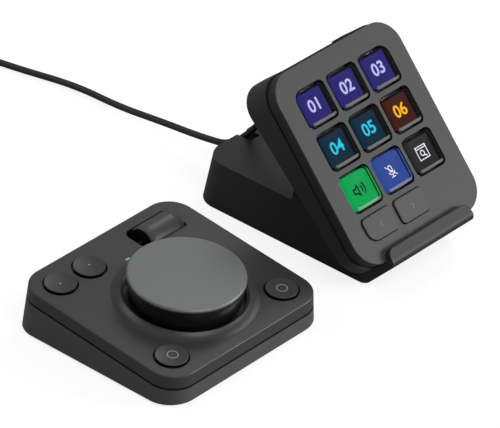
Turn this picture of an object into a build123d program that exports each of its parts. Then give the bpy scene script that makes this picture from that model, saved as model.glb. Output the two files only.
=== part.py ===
from build123d import *
import math
import os

# Desk control set in millimetres. Two units stand on one table: a dial pad (left) and a keypad
# that leans on a wedge stand (right), with the keypad's cable leaving at the back.
# +X right, +Y back, +Z up. The origin is at table level, under the centre of the set.

# ---------------------------------------------------------------- driving dimensions: the set
PAD_W = 92.5                # dial pad, left to right
PAD_D = 92.5                # dial pad, front to back
KEYPAD_W = 76.7             # keypad, left to right
KEYPAD_H = 90.3             # keypad, along its face
UNIT_GAP = 17.15            # free table between the two units
SET_Y = -1.24               # centre of the dial pad behind the centre of the set

SET_W = PAD_W + UNIT_GAP + KEYPAD_W
PAD_X = (PAD_W - SET_W) / 2
KEYPAD_X = (SET_W - KEYPAD_W) / 2
PAD_AT = Pos(PAD_X, SET_Y, 0)
STAND_AT = Pos(KEYPAD_X, SET_Y, 0)

# ---------------------------------------------------------------- driving dimensions: fits
RUN_FIT = 0.05              # radial clearance of a shaft that turns
STATIC_FIT = 0.05           # clearance round a piece that is fixed in a hole
SLIDE_FIT = 0.3             # clearance round a piece that slides
SEAT_FIT = 0.15             # gap between a flange and the shell that holds it back

# ---------------------------------------------------------------- driving dimensions: dial pad
PAD_R = 12.5                # plan corner radius at the table
PLATE_W = 91.0              # top plate, left to right
PLATE_D = 88.5              # top plate, along its slope
PLATE_R = 11.6              # plan corner radius of the top plate
PLATE_TILT = 5.95           # the plate rises towards the back
PLATE_Z = 19.0              # height of the plate over the pad's centre
PLATE_SHIFT = -2.1          # the plate's centre along its slope
COVER_H = 5.9               # depth of the top cover at its rim
TOP_T = 2.0                 # thickness of the plate
WALL = 2.0                  # side walls of the moulded shells
SEAM = 0.4                  # height of the shadow line between cover and base
SEAM_DEPTH = 0.5
EDGE_R = 0.6                # rounding of the plate's edge
FOOT_H = 0.7                # the rubber feet lift the base this far
FOOT_SINK = 0.5             # the feet sit this deep in their pockets
FOOT_R = 4.5
FOOT_IN = 8.7               # foot centre from the pad's sides
BASE_T = 2.4                # floor of the base
BASE_EDGE_R = 0.6           # rounding of the base's lower edge

# dial and its well
DIAL_Y = -9.9               # dial axis, along the plate's slope
DIAL_R = 24.8
DIAL_FOOT_R = 23.5          # the skirt narrows to this at the bottom
DIAL_H = 11.7               # dial top over the plate
DISC_T = 1.3                # grey top disc
DISC_EDGE = 0.55            # bright bevel round the disc
SKIRT_WALL = 1.8
SKIRT_WEB = 1.6             # web of the skirt under the disc
WELL_GAP = 0.5              # gap between dial and collar
WELL_DEPTH = 1.6            # well floor below the plate
WELL_FLOOR = 2.0
DIAL_FLOAT = 0.4            # the skirt clears the well floor by this
COLLAR_H = 2.0              # rim of the collar over the plate
COLLAR_RIM = 1.3            # width of the collar's round rim
COLLAR_FOOT_R = 31.5        # where the collar's slope meets the plate
SLOPE_AT = 0.35             # share of the slope's run where its middle point lies
SLOPE_DROP = 0.34           # share of the collar's height left at that point
SHAFT_R = 3.0
SHAFT_DOWN = 9.2            # lower end of the shaft below the plate
BUSH_R = 4.6
BUSH_FLANGE_R = 7.0
BUSH_FLANGE_T = 1.2
BUSH_OUT = 0.4              # the bush stands out under the well floor
HUB_R = 6.0
HUB_GAP = 0.3
RIB_T = 1.4
RIB_LOW = 3.0               # lower edge of the ribs over the plate
RIB_COUNT = 6
CLIP_R = 5.2
CLIP_T = 0.8
CLIP_GAP = 0.1
CLIP_GROOVE = 0.6           # depth of the clip's groove in the shaft
CLIP_MOUTH = 3.6
ENCODER_W = 15.0
ENCODER_D = 13.0
ENCODER_T = 4.8

# round buttons
BUTTON_R = 6.85             # cap of the button
BUTTON_GAP = 0.75           # open ring between the cap and the plate
BUTTON_NECK = 0.6           # the stem is this much narrower than the cap
BUTTON_RIM_T = 0.5          # edge of the cap
BUTTON_RISE = 1.0           # button rim over the plate
BUTTON_TRAVEL = 0.7
BUTTON_FLANGE = 0.45        # the flange is this much wider than the hole
BUTTON_FLANGE_T = 0.8
BUTTON_DISH_R = 40.0        # radius of the dished top
BUTTON_EDGE_R = 0.2
BUTTON_X = 32.8             # outer buttons from the pad's centre line
BUTTON_PITCH = 16.8         # between the two back buttons
BACK_ROW_Y = 29.45          # back buttons and roller, along the slope
FRONT_ROW_Y = -33.6
DOME_R = 2.6
DOME_T = 0.45               # domes on both circuit boards

# roller
ROLLER_R = 6.8
ROLLER_LEN = 19.8
ROLLER_SINK = 3.1           # roller axis below the plate
ROLLER_END = 0.7            # bevel at the drum's ends
ROLLER_SIDE = 0.45          # gap between the drum and the right end of its slot
SLOT_X = 23.3               # middle of the slot from the pad's centre line
SLOT_LEN = 24.7
SLOT_W = 13.5
SLOT_R = 3.6                # corners at the slot's open end
SLOT_END_R = 1.5            # corners at the drum's end
SLOT_LIP_T = 0.9            # the opening widens below this depth
SLOT_BEVEL = 0.35           # bevel round the slot's edge
ROOM_MORE = 0.4             # the room under the slot is this much larger on each side
AXLE_R = 0.95
TUB_WALL = 1.4
TUB_ROOM = 0.5              # room under the drum
TUB_FLANGE = 0.9
TUB_FLANGE_T = 1.0

# circuit board, light and screws of the dial pad
BOARD_T = 1.2
DOME_GAP = 0.1              # a pressed button stops this far over its dome
BOARD_GAP = 1.6             # board edge from the inside walls
LIGHT_LEN = 2.4
LIGHT_W = 1.1
LIGHT_OFF = 1.3             # light behind the foot of the collar
SCREW_R = 1.2
SCREW_HEAD_R = 2.2
SCREW_HEAD_T = 1.3
SCREW_BELOW = 6.0           # head seat below the joint of the two shells
SCREW_ABOVE = 3.0           # the tip reaches this far past the joint
BOSS_R = 3.4
SIDE_SCREW_IN = 6.25        # side screws from the pad's sides
SIDE_SCREW_OFF = 3.75       # side screws in front of the battery door's hinge
FRONT_SCREW_IN = 5.25       # front screw from the pad's front
REAR_SCREW_IN = 7.65        # rear screw from the pad's rear
STAND_OFF_R = 2.2
STAND_OFF_IN = 10.25        # stand-offs from the pad's sides
STAND_OFF_Y = -16.0         # front pair
STAND_OFF_REAR_Y = 8.0      # single one on the right

# battery bay and door
CELL_R = 5.25
CELL_LEN = 43.7
CELL_NUB_R = 1.9
CELL_NUB = 0.8
CELL_GAP = 0.6              # between the two cells
CELL_LIFT = 0.1             # gap between the cells and the door
BAY_FIT = 0.25              # room round the cells
CONTACT_ROOM = 2.4          # room for the contacts at each end
BAY_X = -17.0
BAY_FOOT_GAP = 1.5          # between the door and the rear feet
BAY_WALL = 1.0
BAY_ROOF = 0.8
DOOR_T = 1.4
DOOR_LIP = 1.6              # the door reaches this far past the bay
DOOR_FIT = 0.3
HINGE_GAP = 0.6             # wider gap along the hinge
HINGE_OUT = 1.6             # hinge axis in front of the door's edge
BARREL_R = 1.15
LUG_W = 5.0
LUG_GAP = 0.3
LUG_X = 15.0                # lugs from the bay's middle
DOOR_PIN_R = 0.5
DOOR_PIN_LEN = 8.6
GRIP_NOTCH_R = 5.0          # finger notch in the door
GRIP_NOTCH_T = 0.5
CONTACT_T = 0.4
SPRING_R = 3.0
SPRING_TIP_R = 1.4

# switches on the underside
SWITCH_X = 22.0
SWITCH_Y = -22.0
KNOB_LEN = 4.0
KNOB_W = 2.8
KNOB_SINK = 0.2
SWITCH_TRAVEL = 3.0
SLIDER_LEN = 9.0
SLIDER_W = 5.0
SLIDER_T = 0.8
CASE_WALL = 0.8
CASE_ROOM = 0.75            # free height over a pressed switch
PAIR_X = -22.0
PAIR_Y = -22.0
PAIR_R = 2.6
PAIR_FLANGE_R = 3.6
PAIR_TRAVEL = 0.5

# ---------------------------------------------------------------- driving dimensions: keypad
FACE_TILT = 50.4            # the face leans back this far from the table
FACE_Y = -53.25             # lower edge of the face, from the dial pad's centre
FACE_Z = 16.8               # lower edge of the face above the table
WEDGE = 5.3                 # the back leans this much less than the face
HEEL_T = 12.4               # housing thickness at its lower edge
KEYPAD_R = 11.5
BEZEL_IN = 0.4              # the face plate stands in from the rear shell's sides
BEZEL_R = 12.2
BEZEL_H = 5.8               # depth of the face plate at its rim
BEZEL_T = 3.0               # thickness of the face plate
BEZEL_TAPER = 0.15          # the rim draws in towards the seam
BEZEL_EDGE_R = 0.25
HOUSING_WALL = 2.2
HOUSING_EDGE_R = 0.5
GRIP_W = 41.0               # shallow grip recess in the upper wall
GRIP_DEPTH = 1.6
GRIP_FROM = 7.6             # it starts this far behind the face

# display keys
KEY_SIDE = 9.5              # block of keys from the keypad's sides
KEY_ABOVE = 10.0            # block of keys from the keypad's upper edge
COLUMN_GAP = 1.7            # bars between the openings
ROW_GAP = 2.2
KEY_HOLE_R = 2.8
KEY_OUTER_R = 5.2           # larger radius at the outer corners of the block
KEY_FIT = 0.35
KEY_TOP = -0.1              # key rim, from the face
KEY_BEVEL = 1.3
KEY_BEVEL_DROP = 0.8
KEY_SIDE_IN = 0.95          # the cap's sides lean in by this
KEY_SIDE_DROP = 1.5         # over this height
KEY_DISH = 0.35
KEY_DISH_R = 90.0
KEY_FLANGE = 0.3            # the flange is this much wider than the hole
KEY_FLANGE_T = 0.8
KEY_TRAVEL = 0.8
MAT_GAP = 0.1
MAT_T = 0.7
MAT_IN = 4.4                # edge of the mat from the keypad's sides
VIEW_SIDE = 1.35            # windows in the mat are smaller than the openings by this on each side
VIEW_END = 1.8              # and by this at the top and bottom
PANEL_T = 1.4
PANEL_MORE = 1.65           # the screen reaches this far past the block of keys
PANEL_R = 8.0
KEY_BOARD_T = 1.2
KEY_BOARD_TOP = 8.0         # board top behind the face

# page keys
PAGE_H = 11.5
PAGE_BELOW = 9.45           # page keys above the keypad's lower edge
PAGE_GAP = 2.15             # bar between page keys and display keys
PAGE_R = 2.4
PAGE_RISE = 0.9
PAGE_EDGE_R = 0.45
PAGE_TRAVEL = 0.6
STEM_W = 6.0
STEM_D = 4.0
STEM_GAP = 0.05             # a pressed stem stops this far over its dome

# housing screws and socket
KEY_BOSS_IN = 8.0
KEY_BOSS_R = 2.9
KEY_SCREW_DOWN = 4.0        # screw head seat behind the joint of the two shells
SOCKET_DOWN = 11.8          # socket below the upper edge, along the back
SOCKET_W = 8.95
SOCKET_H = 3.2
SOCKET_T = 0.3
SOCKET_DEPTH = 7.4
TONGUE_W = 6.7
TONGUE_T = 0.7

# ---------------------------------------------------------------- driving dimensions: stand
STAND_W = 51.2
STAND_REAR = 58.92          # rear foot edge, from the dial pad's centre
STAND_FRONT = -41.1         # front foot edge
STAND_H = 24.0
STAND_LIFT = 0.1            # gap under the stand's edge
REAR_LEAN = 6.1             # the rear wall leans forward by this over its height
REAR_R = 12.0
SHELF_T = 2.97              # shelf under the keypad, at the lip's front
LIP_T = 2.8
LIP_GAP = 0.3
LIP_RISE = 4.6              # the lip reaches this far up the face
LIP_ROOT = 0.1              # and this far below the keypad's lower edge
LIP_R = 3.8                 # round ends of the lip's upper edge
LIP_EDGE_R = 0.4
NOSE_R = 3.1                # round edge between the lip and the arm
ARM_R = 9.0                 # knee between the arm and the foot
STAND_WALL = 2.4
HOLLOW_FRONT = -32.0        # front end of the hollow under the stand
REST_TOP = 46.0             # height of the back rest
REST_BACK = 0.0             # rear of the rest at its top
REST_FOOT = 3.0             # rear of the rest at the flat top
REST_ROOT = 1.0             # the rest starts this far below the flat top
CHEEK_IN = 3.4              # the rest is narrower than the stand by this on each side
NOTCH_W = 6.3
NOTCH_FLOOR = 12.4
NOTCH_FROM = 45.0
BASE_PLATE_T = 1.6
PLATE_SEAT = 0.7            # gap round the base plate
STRIP_H = 1.0
STRIP_R = 4.2
STRIP_IN = 9.5              # feet from the stand's sides and front
STRIP_REAR_IN = 15.0        # and from its rear

# ---------------------------------------------------------------- driving dimensions: cable
CABLE_R = 1.5
CABLE_LENGTH = 1500.0
PLUG_W = 11.6
PLUG_H = 6.2
PLUG_LEN = 17.0
PLUG_SHELL_W = 8.25
PLUG_SHELL_H = 2.4
PLUG_SHELL_T = 0.3
PLUG_SHELL_LEN = 6.4
PLUG_GAP = 0.4              # the overmould stands off the housing by this
BOOT_LEN = 9.0
BOOT_R = 2.9
BOOT_TIP = 0.6              # thickness of the boot's thin end
KNEE_RUN = 9.0              # straight run out of the boot
COIL_R = 22.0               # mean radius of the turns
COIL_TURNS = 3              # turns side by side, and one on another
TAIL_PLUG_LEN = 19.0
TAIL_PLUG_W = 15.4
TAIL_PLUG_H = 7.8
TAIL_SHELL_W = 12.0
TAIL_SHELL_H = 4.5
TAIL_SHELL_T = 0.4
TAIL_SHELL_LEN = 12.0
TIE_T = 0.8
TIE_ARC = 24.0              # share of the turn that the tie covers, in degrees
TIE_FROM = 200.0            # where the tie starts round the coil, in degrees

ON_TOP = (Align.CENTER, Align.CENTER, Align.MIN)
BELOW = (Align.CENTER, Align.CENTER, Align.MAX)
CENTRE = (Align.CENTER, Align.CENTER, Align.CENTER)
FAR = 400.0                 # larger than the object, for cutting blocks

parts = {}


def rod(radius, length, align=ON_TOP):
    return Cylinder(radius, length, align=align)


def tube(outer, inner, length):
    return rod(outer, length) - rod(inner, length)


def space_below():
    return Box(FAR, FAR, FAR, align=BELOW)


def space_above():
    return Box(FAR, FAR, FAR, align=ON_TOP)


def slab(low, high):
    return Pos(0, 0, low) * Box(FAR, FAR, high - low, align=ON_TOP)


def plate_shape(width, height, radii):
    """Rectangle with its own radius at each corner: upper left, upper right, lower right, lower left."""
    shape = Rectangle(width, height)
    signs = ((-1, 1), (1, 1), (1, -1), (-1, -1))
    for (side, end), radius in zip(signs, radii):
        corner = shape.vertices().sort_by_distance((side * width / 2, end * height / 2, 0))[0]
        shape = fillet(corner, radius) if radius else shape
    return shape


def profile(points, width, rounded={}):
    """Prism across X from (y, z) points, centred on X = 0; `rounded` gives radii for some points."""
    face = make_face(Polyline(*points, close=True))
    for (y, z), radius in rounded.items():
        face = fillet(face.vertices().sort_by_distance((y, z, 0))[0], radius)
    face = Plane.YZ * face
    return Pos(-width / 2, 0, 0) * extrude(face, amount=width, dir=(1, 0, 0))


# ================================================================ dial pad: frames and places
PLATE = Pos(0, 0, PLATE_Z) * Rot(PLATE_TILT, 0, 0)
DIAL_AT = PLATE * Pos(0, DIAL_Y, 0)
SLOT_AT = PLATE * Pos(SLOT_X, BACK_ROW_Y, 0)
ROLLER_AT = SLOT_AT * Pos((SLOT_LEN - ROLLER_LEN) / 2 - ROLLER_SIDE, 0, -ROLLER_SINK) * Rot(0, 90, 0)
LIGHT_Y = DIAL_Y + COLLAR_FOOT_R + LIGHT_OFF
WELL_R = DIAL_R + WELL_GAP
BOARD_TOP = TOP_T + SEAT_FIT + BUTTON_FLANGE_T + BUTTON_TRAVEL + DOME_GAP + DOME_T
BOARD_LOW = BOARD_TOP + BOARD_T
FLOOR_Z = FOOT_H + BASE_T
BUTTON_HOLE_R = BUTTON_R + BUTTON_GAP
BUTTONS = {
    "button_back_left": (-BUTTON_X, BACK_ROW_Y),
    "button_back_inner": (-BUTTON_X + BUTTON_PITCH, BACK_ROW_Y),
    "button_front_left": (-BUTTON_X, FRONT_ROW_Y),
    "button_front_right": (BUTTON_X, FRONT_ROW_Y),
}
FOOT_X = PAD_W / 2 - FOOT_IN
FOOT_Y = PAD_D / 2 - FOOT_IN
FEET = [(sx * FOOT_X, sy * FOOT_Y) for sx in (-1, 1) for sy in (-1, 1)]

# battery bay
CELL_Z = FOOT_H + DOOR_T + CELL_LIFT + CELL_R
BAY_LEN = CELL_LEN + CELL_NUB + 2 * CONTACT_ROOM
BAY_D = 4 * CELL_R + CELL_GAP + 2 * BAY_FIT
BAY_TOP = CELL_Z + CELL_R + BAY_FIT
DOOR_LEN = BAY_LEN + 2 * (DOOR_LIP - DOOR_FIT)
DOOR_D = BAY_D + 2 * (DOOR_LIP - DOOR_FIT)
DOOR_BACK = FOOT_Y - FOOT_R - BAY_FOOT_GAP
DOOR_FRONT = DOOR_BACK - DOOR_D
BAY_Y = DOOR_BACK - DOOR_D / 2
HINGE_Y = DOOR_FRONT - HINGE_OUT
HINGE_Z = FOOT_H + BARREL_R
LUGS = [BAY_X - LUG_X, BAY_X + LUG_X]

# screws and the board's stand-offs
SIDE_SCREW_X = PAD_W / 2 - SIDE_SCREW_IN
SIDE_SCREW_Y = HINGE_Y - SIDE_SCREW_OFF
SCREWS = [
    (-SIDE_SCREW_X, SIDE_SCREW_Y),
    (SIDE_SCREW_X, SIDE_SCREW_Y),
    (0.0, FRONT_SCREW_IN - PAD_D / 2),
    (0.0, PAD_D / 2 - REAR_SCREW_IN),
]
STAND_OFF_X = PAD_W / 2 - STAND_OFF_IN
STAND_OFFS = [(-STAND_OFF_X, STAND_OFF_Y), (STAND_OFF_X, STAND_OFF_Y), (STAND_OFF_X, STAND_OFF_REAR_Y)]


def joint_height(y):
    """Height of the joint between the two shells, over the table."""
    tilt = math.radians(PLATE_TILT)
    return PLATE_Z + y * math.tan(tilt) - COVER_H / math.cos(tilt)


def pad_form(inset):
    """Outer form of the dial pad, drawn in by `inset` all round: foot outline to tilted plate."""
    foot = RectangleRounded(PAD_W - 2 * inset, PAD_D - 2 * inset, PAD_R - inset)
    top = RectangleRounded(PLATE_W - 2 * inset, PLATE_D - 2 * inset, PLATE_R - inset)
    return loft([Pos(0, 0, FOOT_H) * foot, PLATE * Pos(0, PLATE_SHIFT, 0) * top], ruled=True)


# ---------------------------------------------------------------- top cover
def collar():
    """Ring that rises round the dial: hollow slope outside, round rim, straight bore."""
    rim_r = WELL_R + COLLAR_RIM
    middle_r = rim_r + (COLLAR_FOOT_R - rim_r) * SLOPE_AT
    rim_z = COLLAR_H - COLLAR_RIM / 2
    slope = ThreePointArc((rim_r, COLLAR_H), (middle_r, COLLAR_H * SLOPE_DROP), (COLLAR_FOOT_R, 0))
    lines = [
        slope,
        Line((COLLAR_FOOT_R, 0), (COLLAR_FOOT_R, -TOP_T / 2)),
        Line((COLLAR_FOOT_R, -TOP_T / 2), (WELL_R, -TOP_T / 2)),
        Line((WELL_R, -TOP_T / 2), (WELL_R, rim_z)),
        Line((WELL_R, rim_z), (rim_r, COLLAR_H)),
    ]
    section = make_face(Curve() + lines)
    ring = revolve(Plane.XZ * section, Axis.Z)
    return ring


def slot_shape(grow):
    """Outline of the roller's slot, grown all round; its right end fits closely round the drum."""
    radii = [SLOT_R + grow, SLOT_END_R + grow, SLOT_END_R + grow, SLOT_R + grow]
    return plate_shape(SLOT_LEN + 2 * grow, SLOT_W + 2 * grow, radii)


def roller_opening():
    hole = extrude(slot_shape(0), amount=TOP_T, both=True)
    hole += Pos(0, 0, -2 * TOP_T) * extrude(slot_shape(ROOM_MORE), amount=2 * TOP_T - SLOT_LIP_T)
    bevel = loft([Pos(0, 0, -SLOT_BEVEL) * slot_shape(0), slot_shape(SLOT_BEVEL)], ruled=True)
    return hole + bevel


def make_top_cover():
    outer = pad_form(0) & PLATE * Pos(0, 0, -COVER_H) * space_above()
    outer = fillet(outer.faces().sort_by(Axis.Z)[-1].edges(), EDGE_R)
    inner = pad_form(WALL) & PLATE * Pos(0, 0, -TOP_T) * space_below()
    shell = outer - inner
    shell += DIAL_AT * collar()
    shell += DIAL_AT * rod(WELL_R + WALL, WELL_DEPTH + WELL_FLOOR, BELOW)
    for x, y in SCREWS:
        post = Pos(x, y, 0) * rod(BOSS_R, FAR)
        post = post & PLATE * slab(-COVER_H, -TOP_T) & pad_form(WALL / 2)
        shell += post
    for x, y in SCREWS:
        tip = joint_height(y) + SCREW_ABOVE
        shell -= Pos(x, y, 0) * rod(SCREW_R + STATIC_FIT, tip + STATIC_FIT)
    shell -= DIAL_AT * Pos(0, 0, -WELL_DEPTH) * rod(WELL_R, FAR)
    shell -= DIAL_AT * rod(BUSH_R + STATIC_FIT, FAR, CENTRE)
    for x, y in BUTTONS.values():
        shell -= PLATE * Pos(x, y, 0) * rod(BUTTON_HOLE_R, 4 * TOP_T, CENTRE)
    shell -= SLOT_AT * roller_opening()
    light = SlotOverall(LIGHT_LEN + 2 * STATIC_FIT, LIGHT_W + 2 * STATIC_FIT)
    shell -= PLATE * Pos(0, LIGHT_Y, 0) * extrude(light, amount=2 * TOP_T, both=True)
    return shell


# ---------------------------------------------------------------- base, feet and screws
def bay_walls():
    height = BAY_TOP + BAY_ROOF - FOOT_H
    block = Box(BAY_LEN + 2 * BAY_WALL, BAY_D + 2 * BAY_WALL, height, align=ON_TOP)
    return Pos(BAY_X, BAY_Y, FOOT_H) * block


def bay_space():
    room = Pos(BAY_X, BAY_Y, 0) * Box(BAY_LEN, BAY_D, BAY_TOP, align=ON_TOP)
    rebate_front = DOOR_FRONT - HINGE_GAP
    depth = DOOR_BACK + DOOR_FIT - rebate_front
    rebate = Box(DOOR_LEN + 2 * DOOR_FIT, depth, FOOT_H + DOOR_T + STATIC_FIT, align=ON_TOP)
    space = room + Pos(BAY_X, rebate_front + depth / 2, 0) * rebate
    for x in LUGS:
        notch = Box(LUG_W + 2 * LUG_GAP, 2 * (BARREL_R + LUG_GAP), FLOOR_Z, align=ON_TOP)
        space += Pos(x, HINGE_Y, 0) * notch
        space += Pos(x, HINGE_Y, HINGE_Z) * Rot(0, 90, 0) * rod(
            DOOR_PIN_R + RUN_FIT, DOOR_PIN_LEN + 2 * LUG_GAP, CENTRE
        )
    return space


def switch_openings():
    knob = Box(KNOB_LEN + SWITCH_TRAVEL + 2 * SLIDE_FIT, KNOB_W + 2 * SLIDE_FIT, FAR, align=CENTRE)
    pairing = rod(PAIR_R + SLIDE_FIT, FAR, CENTRE)
    return Pos(SWITCH_X, SWITCH_Y, 0) * knob + Pos(PAIR_X, PAIR_Y, 0) * pairing


def make_base():
    lower = pad_form(0) & PLATE * Pos(0, 0, -COVER_H - SEAM) * space_below()
    lower = fillet(lower.faces().sort_by(Axis.Z)[0].edges(), BASE_EDGE_R)
    neck = pad_form(SEAM_DEPTH) & PLATE * slab(-COVER_H - 2 * SEAM, -COVER_H)
    hollow = pad_form(WALL) & Pos(0, 0, FLOOR_Z) * space_above()
    shell = lower + neck - hollow
    shell += bay_walls()
    for x, y in SCREWS:
        boss = Pos(x, y, 0) * rod(BOSS_R, FAR) & PLATE * Pos(0, 0, -COVER_H) * space_below()
        shell += boss & pad_form(WALL / 2)
    for x, y in STAND_OFFS:
        shell += Pos(x, y, FLOOR_Z) * rod(STAND_OFF_R, FAR) & PLATE * Pos(0, 0, -BOARD_LOW) * space_below()
    shell -= bay_space()
    shell -= switch_openings()
    for x, y in SCREWS:
        seat = joint_height(y) - SCREW_BELOW
        shell -= Pos(x, y, 0) * rod(SCREW_HEAD_R + 2 * STATIC_FIT, seat)
        shell -= Pos(x, y, 0) * rod(SCREW_R + STATIC_FIT, FAR)
    for x, y in FEET:
        shell -= Pos(x, y, 0) * rod(FOOT_R + STATIC_FIT, FOOT_H + FOOT_SINK)
    return shell


def make_feet():
    foot = rod(FOOT_R, FOOT_H + FOOT_SINK)
    foot = chamfer(foot.edges().group_by(Axis.Z)[0], FOOT_H / 4)
    return Compound([Pos(x, y, 0) * foot for x, y in FEET])


def screw(length, tip_z):
    """Screw that points up, its tip at `tip_z`; the head lies below the shank."""
    body = Pos(0, 0, tip_z - length) * rod(SCREW_R, length)
    head = Pos(0, 0, tip_z - length) * rod(SCREW_HEAD_R, SCREW_HEAD_T, BELOW)
    return body + head


def make_screws():
    length = SCREW_BELOW + SCREW_ABOVE
    return Compound([Pos(x, y, 0) * screw(length, joint_height(y) + SCREW_ABOVE) for x, y in SCREWS])


# ---------------------------------------------------------------- dial
def make_disc():
    disc = Pos(0, 0, DIAL_H) * rod(DIAL_R, DISC_T, BELOW)
    return chamfer(disc.edges().group_by(Axis.Z)[-1], DISC_EDGE)


def make_skirt():
    top = DIAL_H - DISC_T
    low = DIAL_FLOAT - WELL_DEPTH
    height = top - low
    outer = Pos(0, 0, low) * Cone(DIAL_FOOT_R, DIAL_R, height, align=ON_TOP)
    room = height - SKIRT_WEB
    inner = Pos(0, 0, low) * Cone(DIAL_FOOT_R - SKIRT_WALL, DIAL_R - SKIRT_WALL, room, align=ON_TOP)
    skirt = outer - inner
    web_z = top - SKIRT_WEB
    rib_len = DIAL_FOOT_R - SKIRT_WALL / 2
    for index in range(RIB_COUNT):
        rib = Box(rib_len, RIB_T, web_z - RIB_LOW, align=(Align.MIN, Align.CENTER, Align.MIN))
        skirt += Rot(0, 0, index * 360 / RIB_COUNT) * Pos(0, 0, RIB_LOW) * rib
    hub_low = HUB_GAP + BUSH_FLANGE_T - WELL_DEPTH
    skirt += Pos(0, 0, hub_low) * rod(HUB_R, web_z - hub_low)
    skirt -= Pos(0, 0, hub_low) * rod(SHAFT_R + STATIC_FIT, web_z - hub_low)
    return skirt


BUSH_LOW = -WELL_DEPTH - WELL_FLOOR - BUSH_OUT
CLIP_Z = BUSH_LOW - CLIP_GAP - CLIP_T


def make_shaft():
    top = DIAL_H - DISC_T - SKIRT_WEB
    shaft = Pos(0, 0, -SHAFT_DOWN) * rod(SHAFT_R, top + SHAFT_DOWN)
    groove = tube(SHAFT_R + 1, SHAFT_R - CLIP_GROOVE, CLIP_T)
    return shaft - Pos(0, 0, CLIP_Z) * groove


def make_clip():
    ring = tube(CLIP_R, SHAFT_R - CLIP_GROOVE + STATIC_FIT, CLIP_T)
    mouth = Box(CLIP_R + 1, CLIP_MOUTH, CLIP_T, align=(Align.MIN, Align.CENTER, Align.MIN))
    return Pos(0, 0, CLIP_Z) * (ring - mouth)


def make_bush():
    bush = Pos(0, 0, BUSH_LOW) * rod(BUSH_R, BUSH_OUT + WELL_FLOOR)
    bush += Pos(0, 0, -WELL_DEPTH) * rod(BUSH_FLANGE_R, BUSH_FLANGE_T)
    return bush - rod(SHAFT_R + RUN_FIT, FAR, CENTRE)


def make_encoder():
    body = Pos(0, 0, -BOARD_LOW) * Box(ENCODER_W, ENCODER_D, ENCODER_T, align=BELOW)
    body = chamfer(body.edges().filter_by(Axis.Z), 0.6)
    return body - Pos(0, 0, -SHAFT_DOWN - RUN_FIT) * rod(SHAFT_R + RUN_FIT, SHAFT_DOWN)


# ---------------------------------------------------------------- round buttons and roller
def make_button():
    flange_top = -TOP_T - SEAT_FIT
    low = flange_top - BUTTON_FLANGE_T
    rim = rod(BUTTON_R, BUTTON_RIM_T)
    rim = fillet(rim.edges().filter_by(GeomType.CIRCLE), BUTTON_EDGE_R)
    cap = Pos(0, 0, BUTTON_RISE - BUTTON_RIM_T) * rim
    cap += Pos(0, 0, low) * rod(BUTTON_R - BUTTON_NECK, BUTTON_RISE - BUTTON_RIM_T - low)
    dish_depth = (BUTTON_R - BUTTON_EDGE_R) ** 2 / (2 * BUTTON_DISH_R)
    cap -= Pos(0, 0, BUTTON_RISE - dish_depth + BUTTON_DISH_R) * Sphere(BUTTON_DISH_R)
    return cap + Pos(0, 0, low) * rod(BUTTON_HOLE_R + BUTTON_FLANGE, BUTTON_FLANGE_T)


def make_domes(places, top):
    domes = []
    for x, y in places:
        dome = rod(DOME_R, DOME_T)
        dome = chamfer(dome.edges().group_by(Axis.Z)[-1], DOME_T * 0.6)
        domes.append(Pos(x, y, top) * dome)
    return Compound(domes)


TUB_DROP = ROLLER_SINK + ROLLER_R + TUB_ROOM
AXLE_LEN = SLOT_LEN + 2 * (ROOM_MORE + TUB_WALL)
AXLE_AT = Pos(0, 0, -ROLLER_SINK) * Rot(0, 90, 0)


def make_drum():
    drum = rod(ROLLER_R, ROLLER_LEN, CENTRE)
    drum = chamfer(drum.edges(), ROLLER_END)
    return drum - rod(AXLE_R + STATIC_FIT, ROLLER_LEN, CENTRE)


def make_axle():
    return AXLE_AT * rod(AXLE_R, AXLE_LEN, CENTRE)


def make_tub():
    inside = slot_shape(ROOM_MORE)
    outside = slot_shape(ROOM_MORE + TUB_WALL)
    flange = slot_shape(ROOM_MORE + TUB_WALL + TUB_FLANGE)
    tub = Pos(0, 0, -TUB_DROP - TUB_WALL) * extrude(outside, amount=TUB_DROP + TUB_WALL - TOP_T)
    tub += Pos(0, 0, -BOARD_TOP) * extrude(flange, amount=TUB_FLANGE_T)
    tub -= Pos(0, 0, -TUB_DROP) * extrude(inside, amount=TUB_DROP)
    tub -= AXLE_AT * rod(AXLE_R + RUN_FIT, AXLE_LEN, CENTRE)
    return tub - Pos(0, 0, -ROLLER_SINK) * Box(AXLE_LEN, 2 * AXLE_R, ROLLER_SINK, align=ON_TOP)


# ---------------------------------------------------------------- board and light of the dial pad
def make_pad_board():
    board = pad_form(WALL + BOARD_GAP) & PLATE * slab(-BOARD_LOW, -BOARD_TOP)
    board -= DIAL_AT * rod(CLIP_R + 1, FAR, CENTRE)
    board -= SLOT_AT * extrude(slot_shape(ROOM_MORE + TUB_WALL + SLIDE_FIT), amount=TUB_DROP, both=True)
    for x, y in SCREWS:
        board -= Pos(x, y, 0) * rod(BOSS_R + SLIDE_FIT, FAR)
    return board


def make_light():
    pipe = extrude(SlotOverall(LIGHT_LEN, LIGHT_W), amount=BOARD_TOP)
    return Pos(0, LIGHT_Y, -BOARD_TOP) * pipe


# ---------------------------------------------------------------- battery bay
CELL_OFF = CELL_R + CELL_GAP / 2
CELL_ROWS = [(BAY_Y - CELL_OFF, 1), (BAY_Y + CELL_OFF, -1)]


def make_cells():
    cells = []
    for y, way in CELL_ROWS:
        can = chamfer(rod(CELL_R, CELL_LEN).edges(), 0.4)
        can += Pos(0, 0, CELL_LEN) * rod(CELL_NUB_R, CELL_NUB)
        whole = CELL_LEN + CELL_NUB
        cells.append(Pos(BAY_X, y, CELL_Z) * Rot(0, 90 * way, 0) * Pos(0, 0, -whole / 2) * can)
    return Compound(cells)


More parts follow.
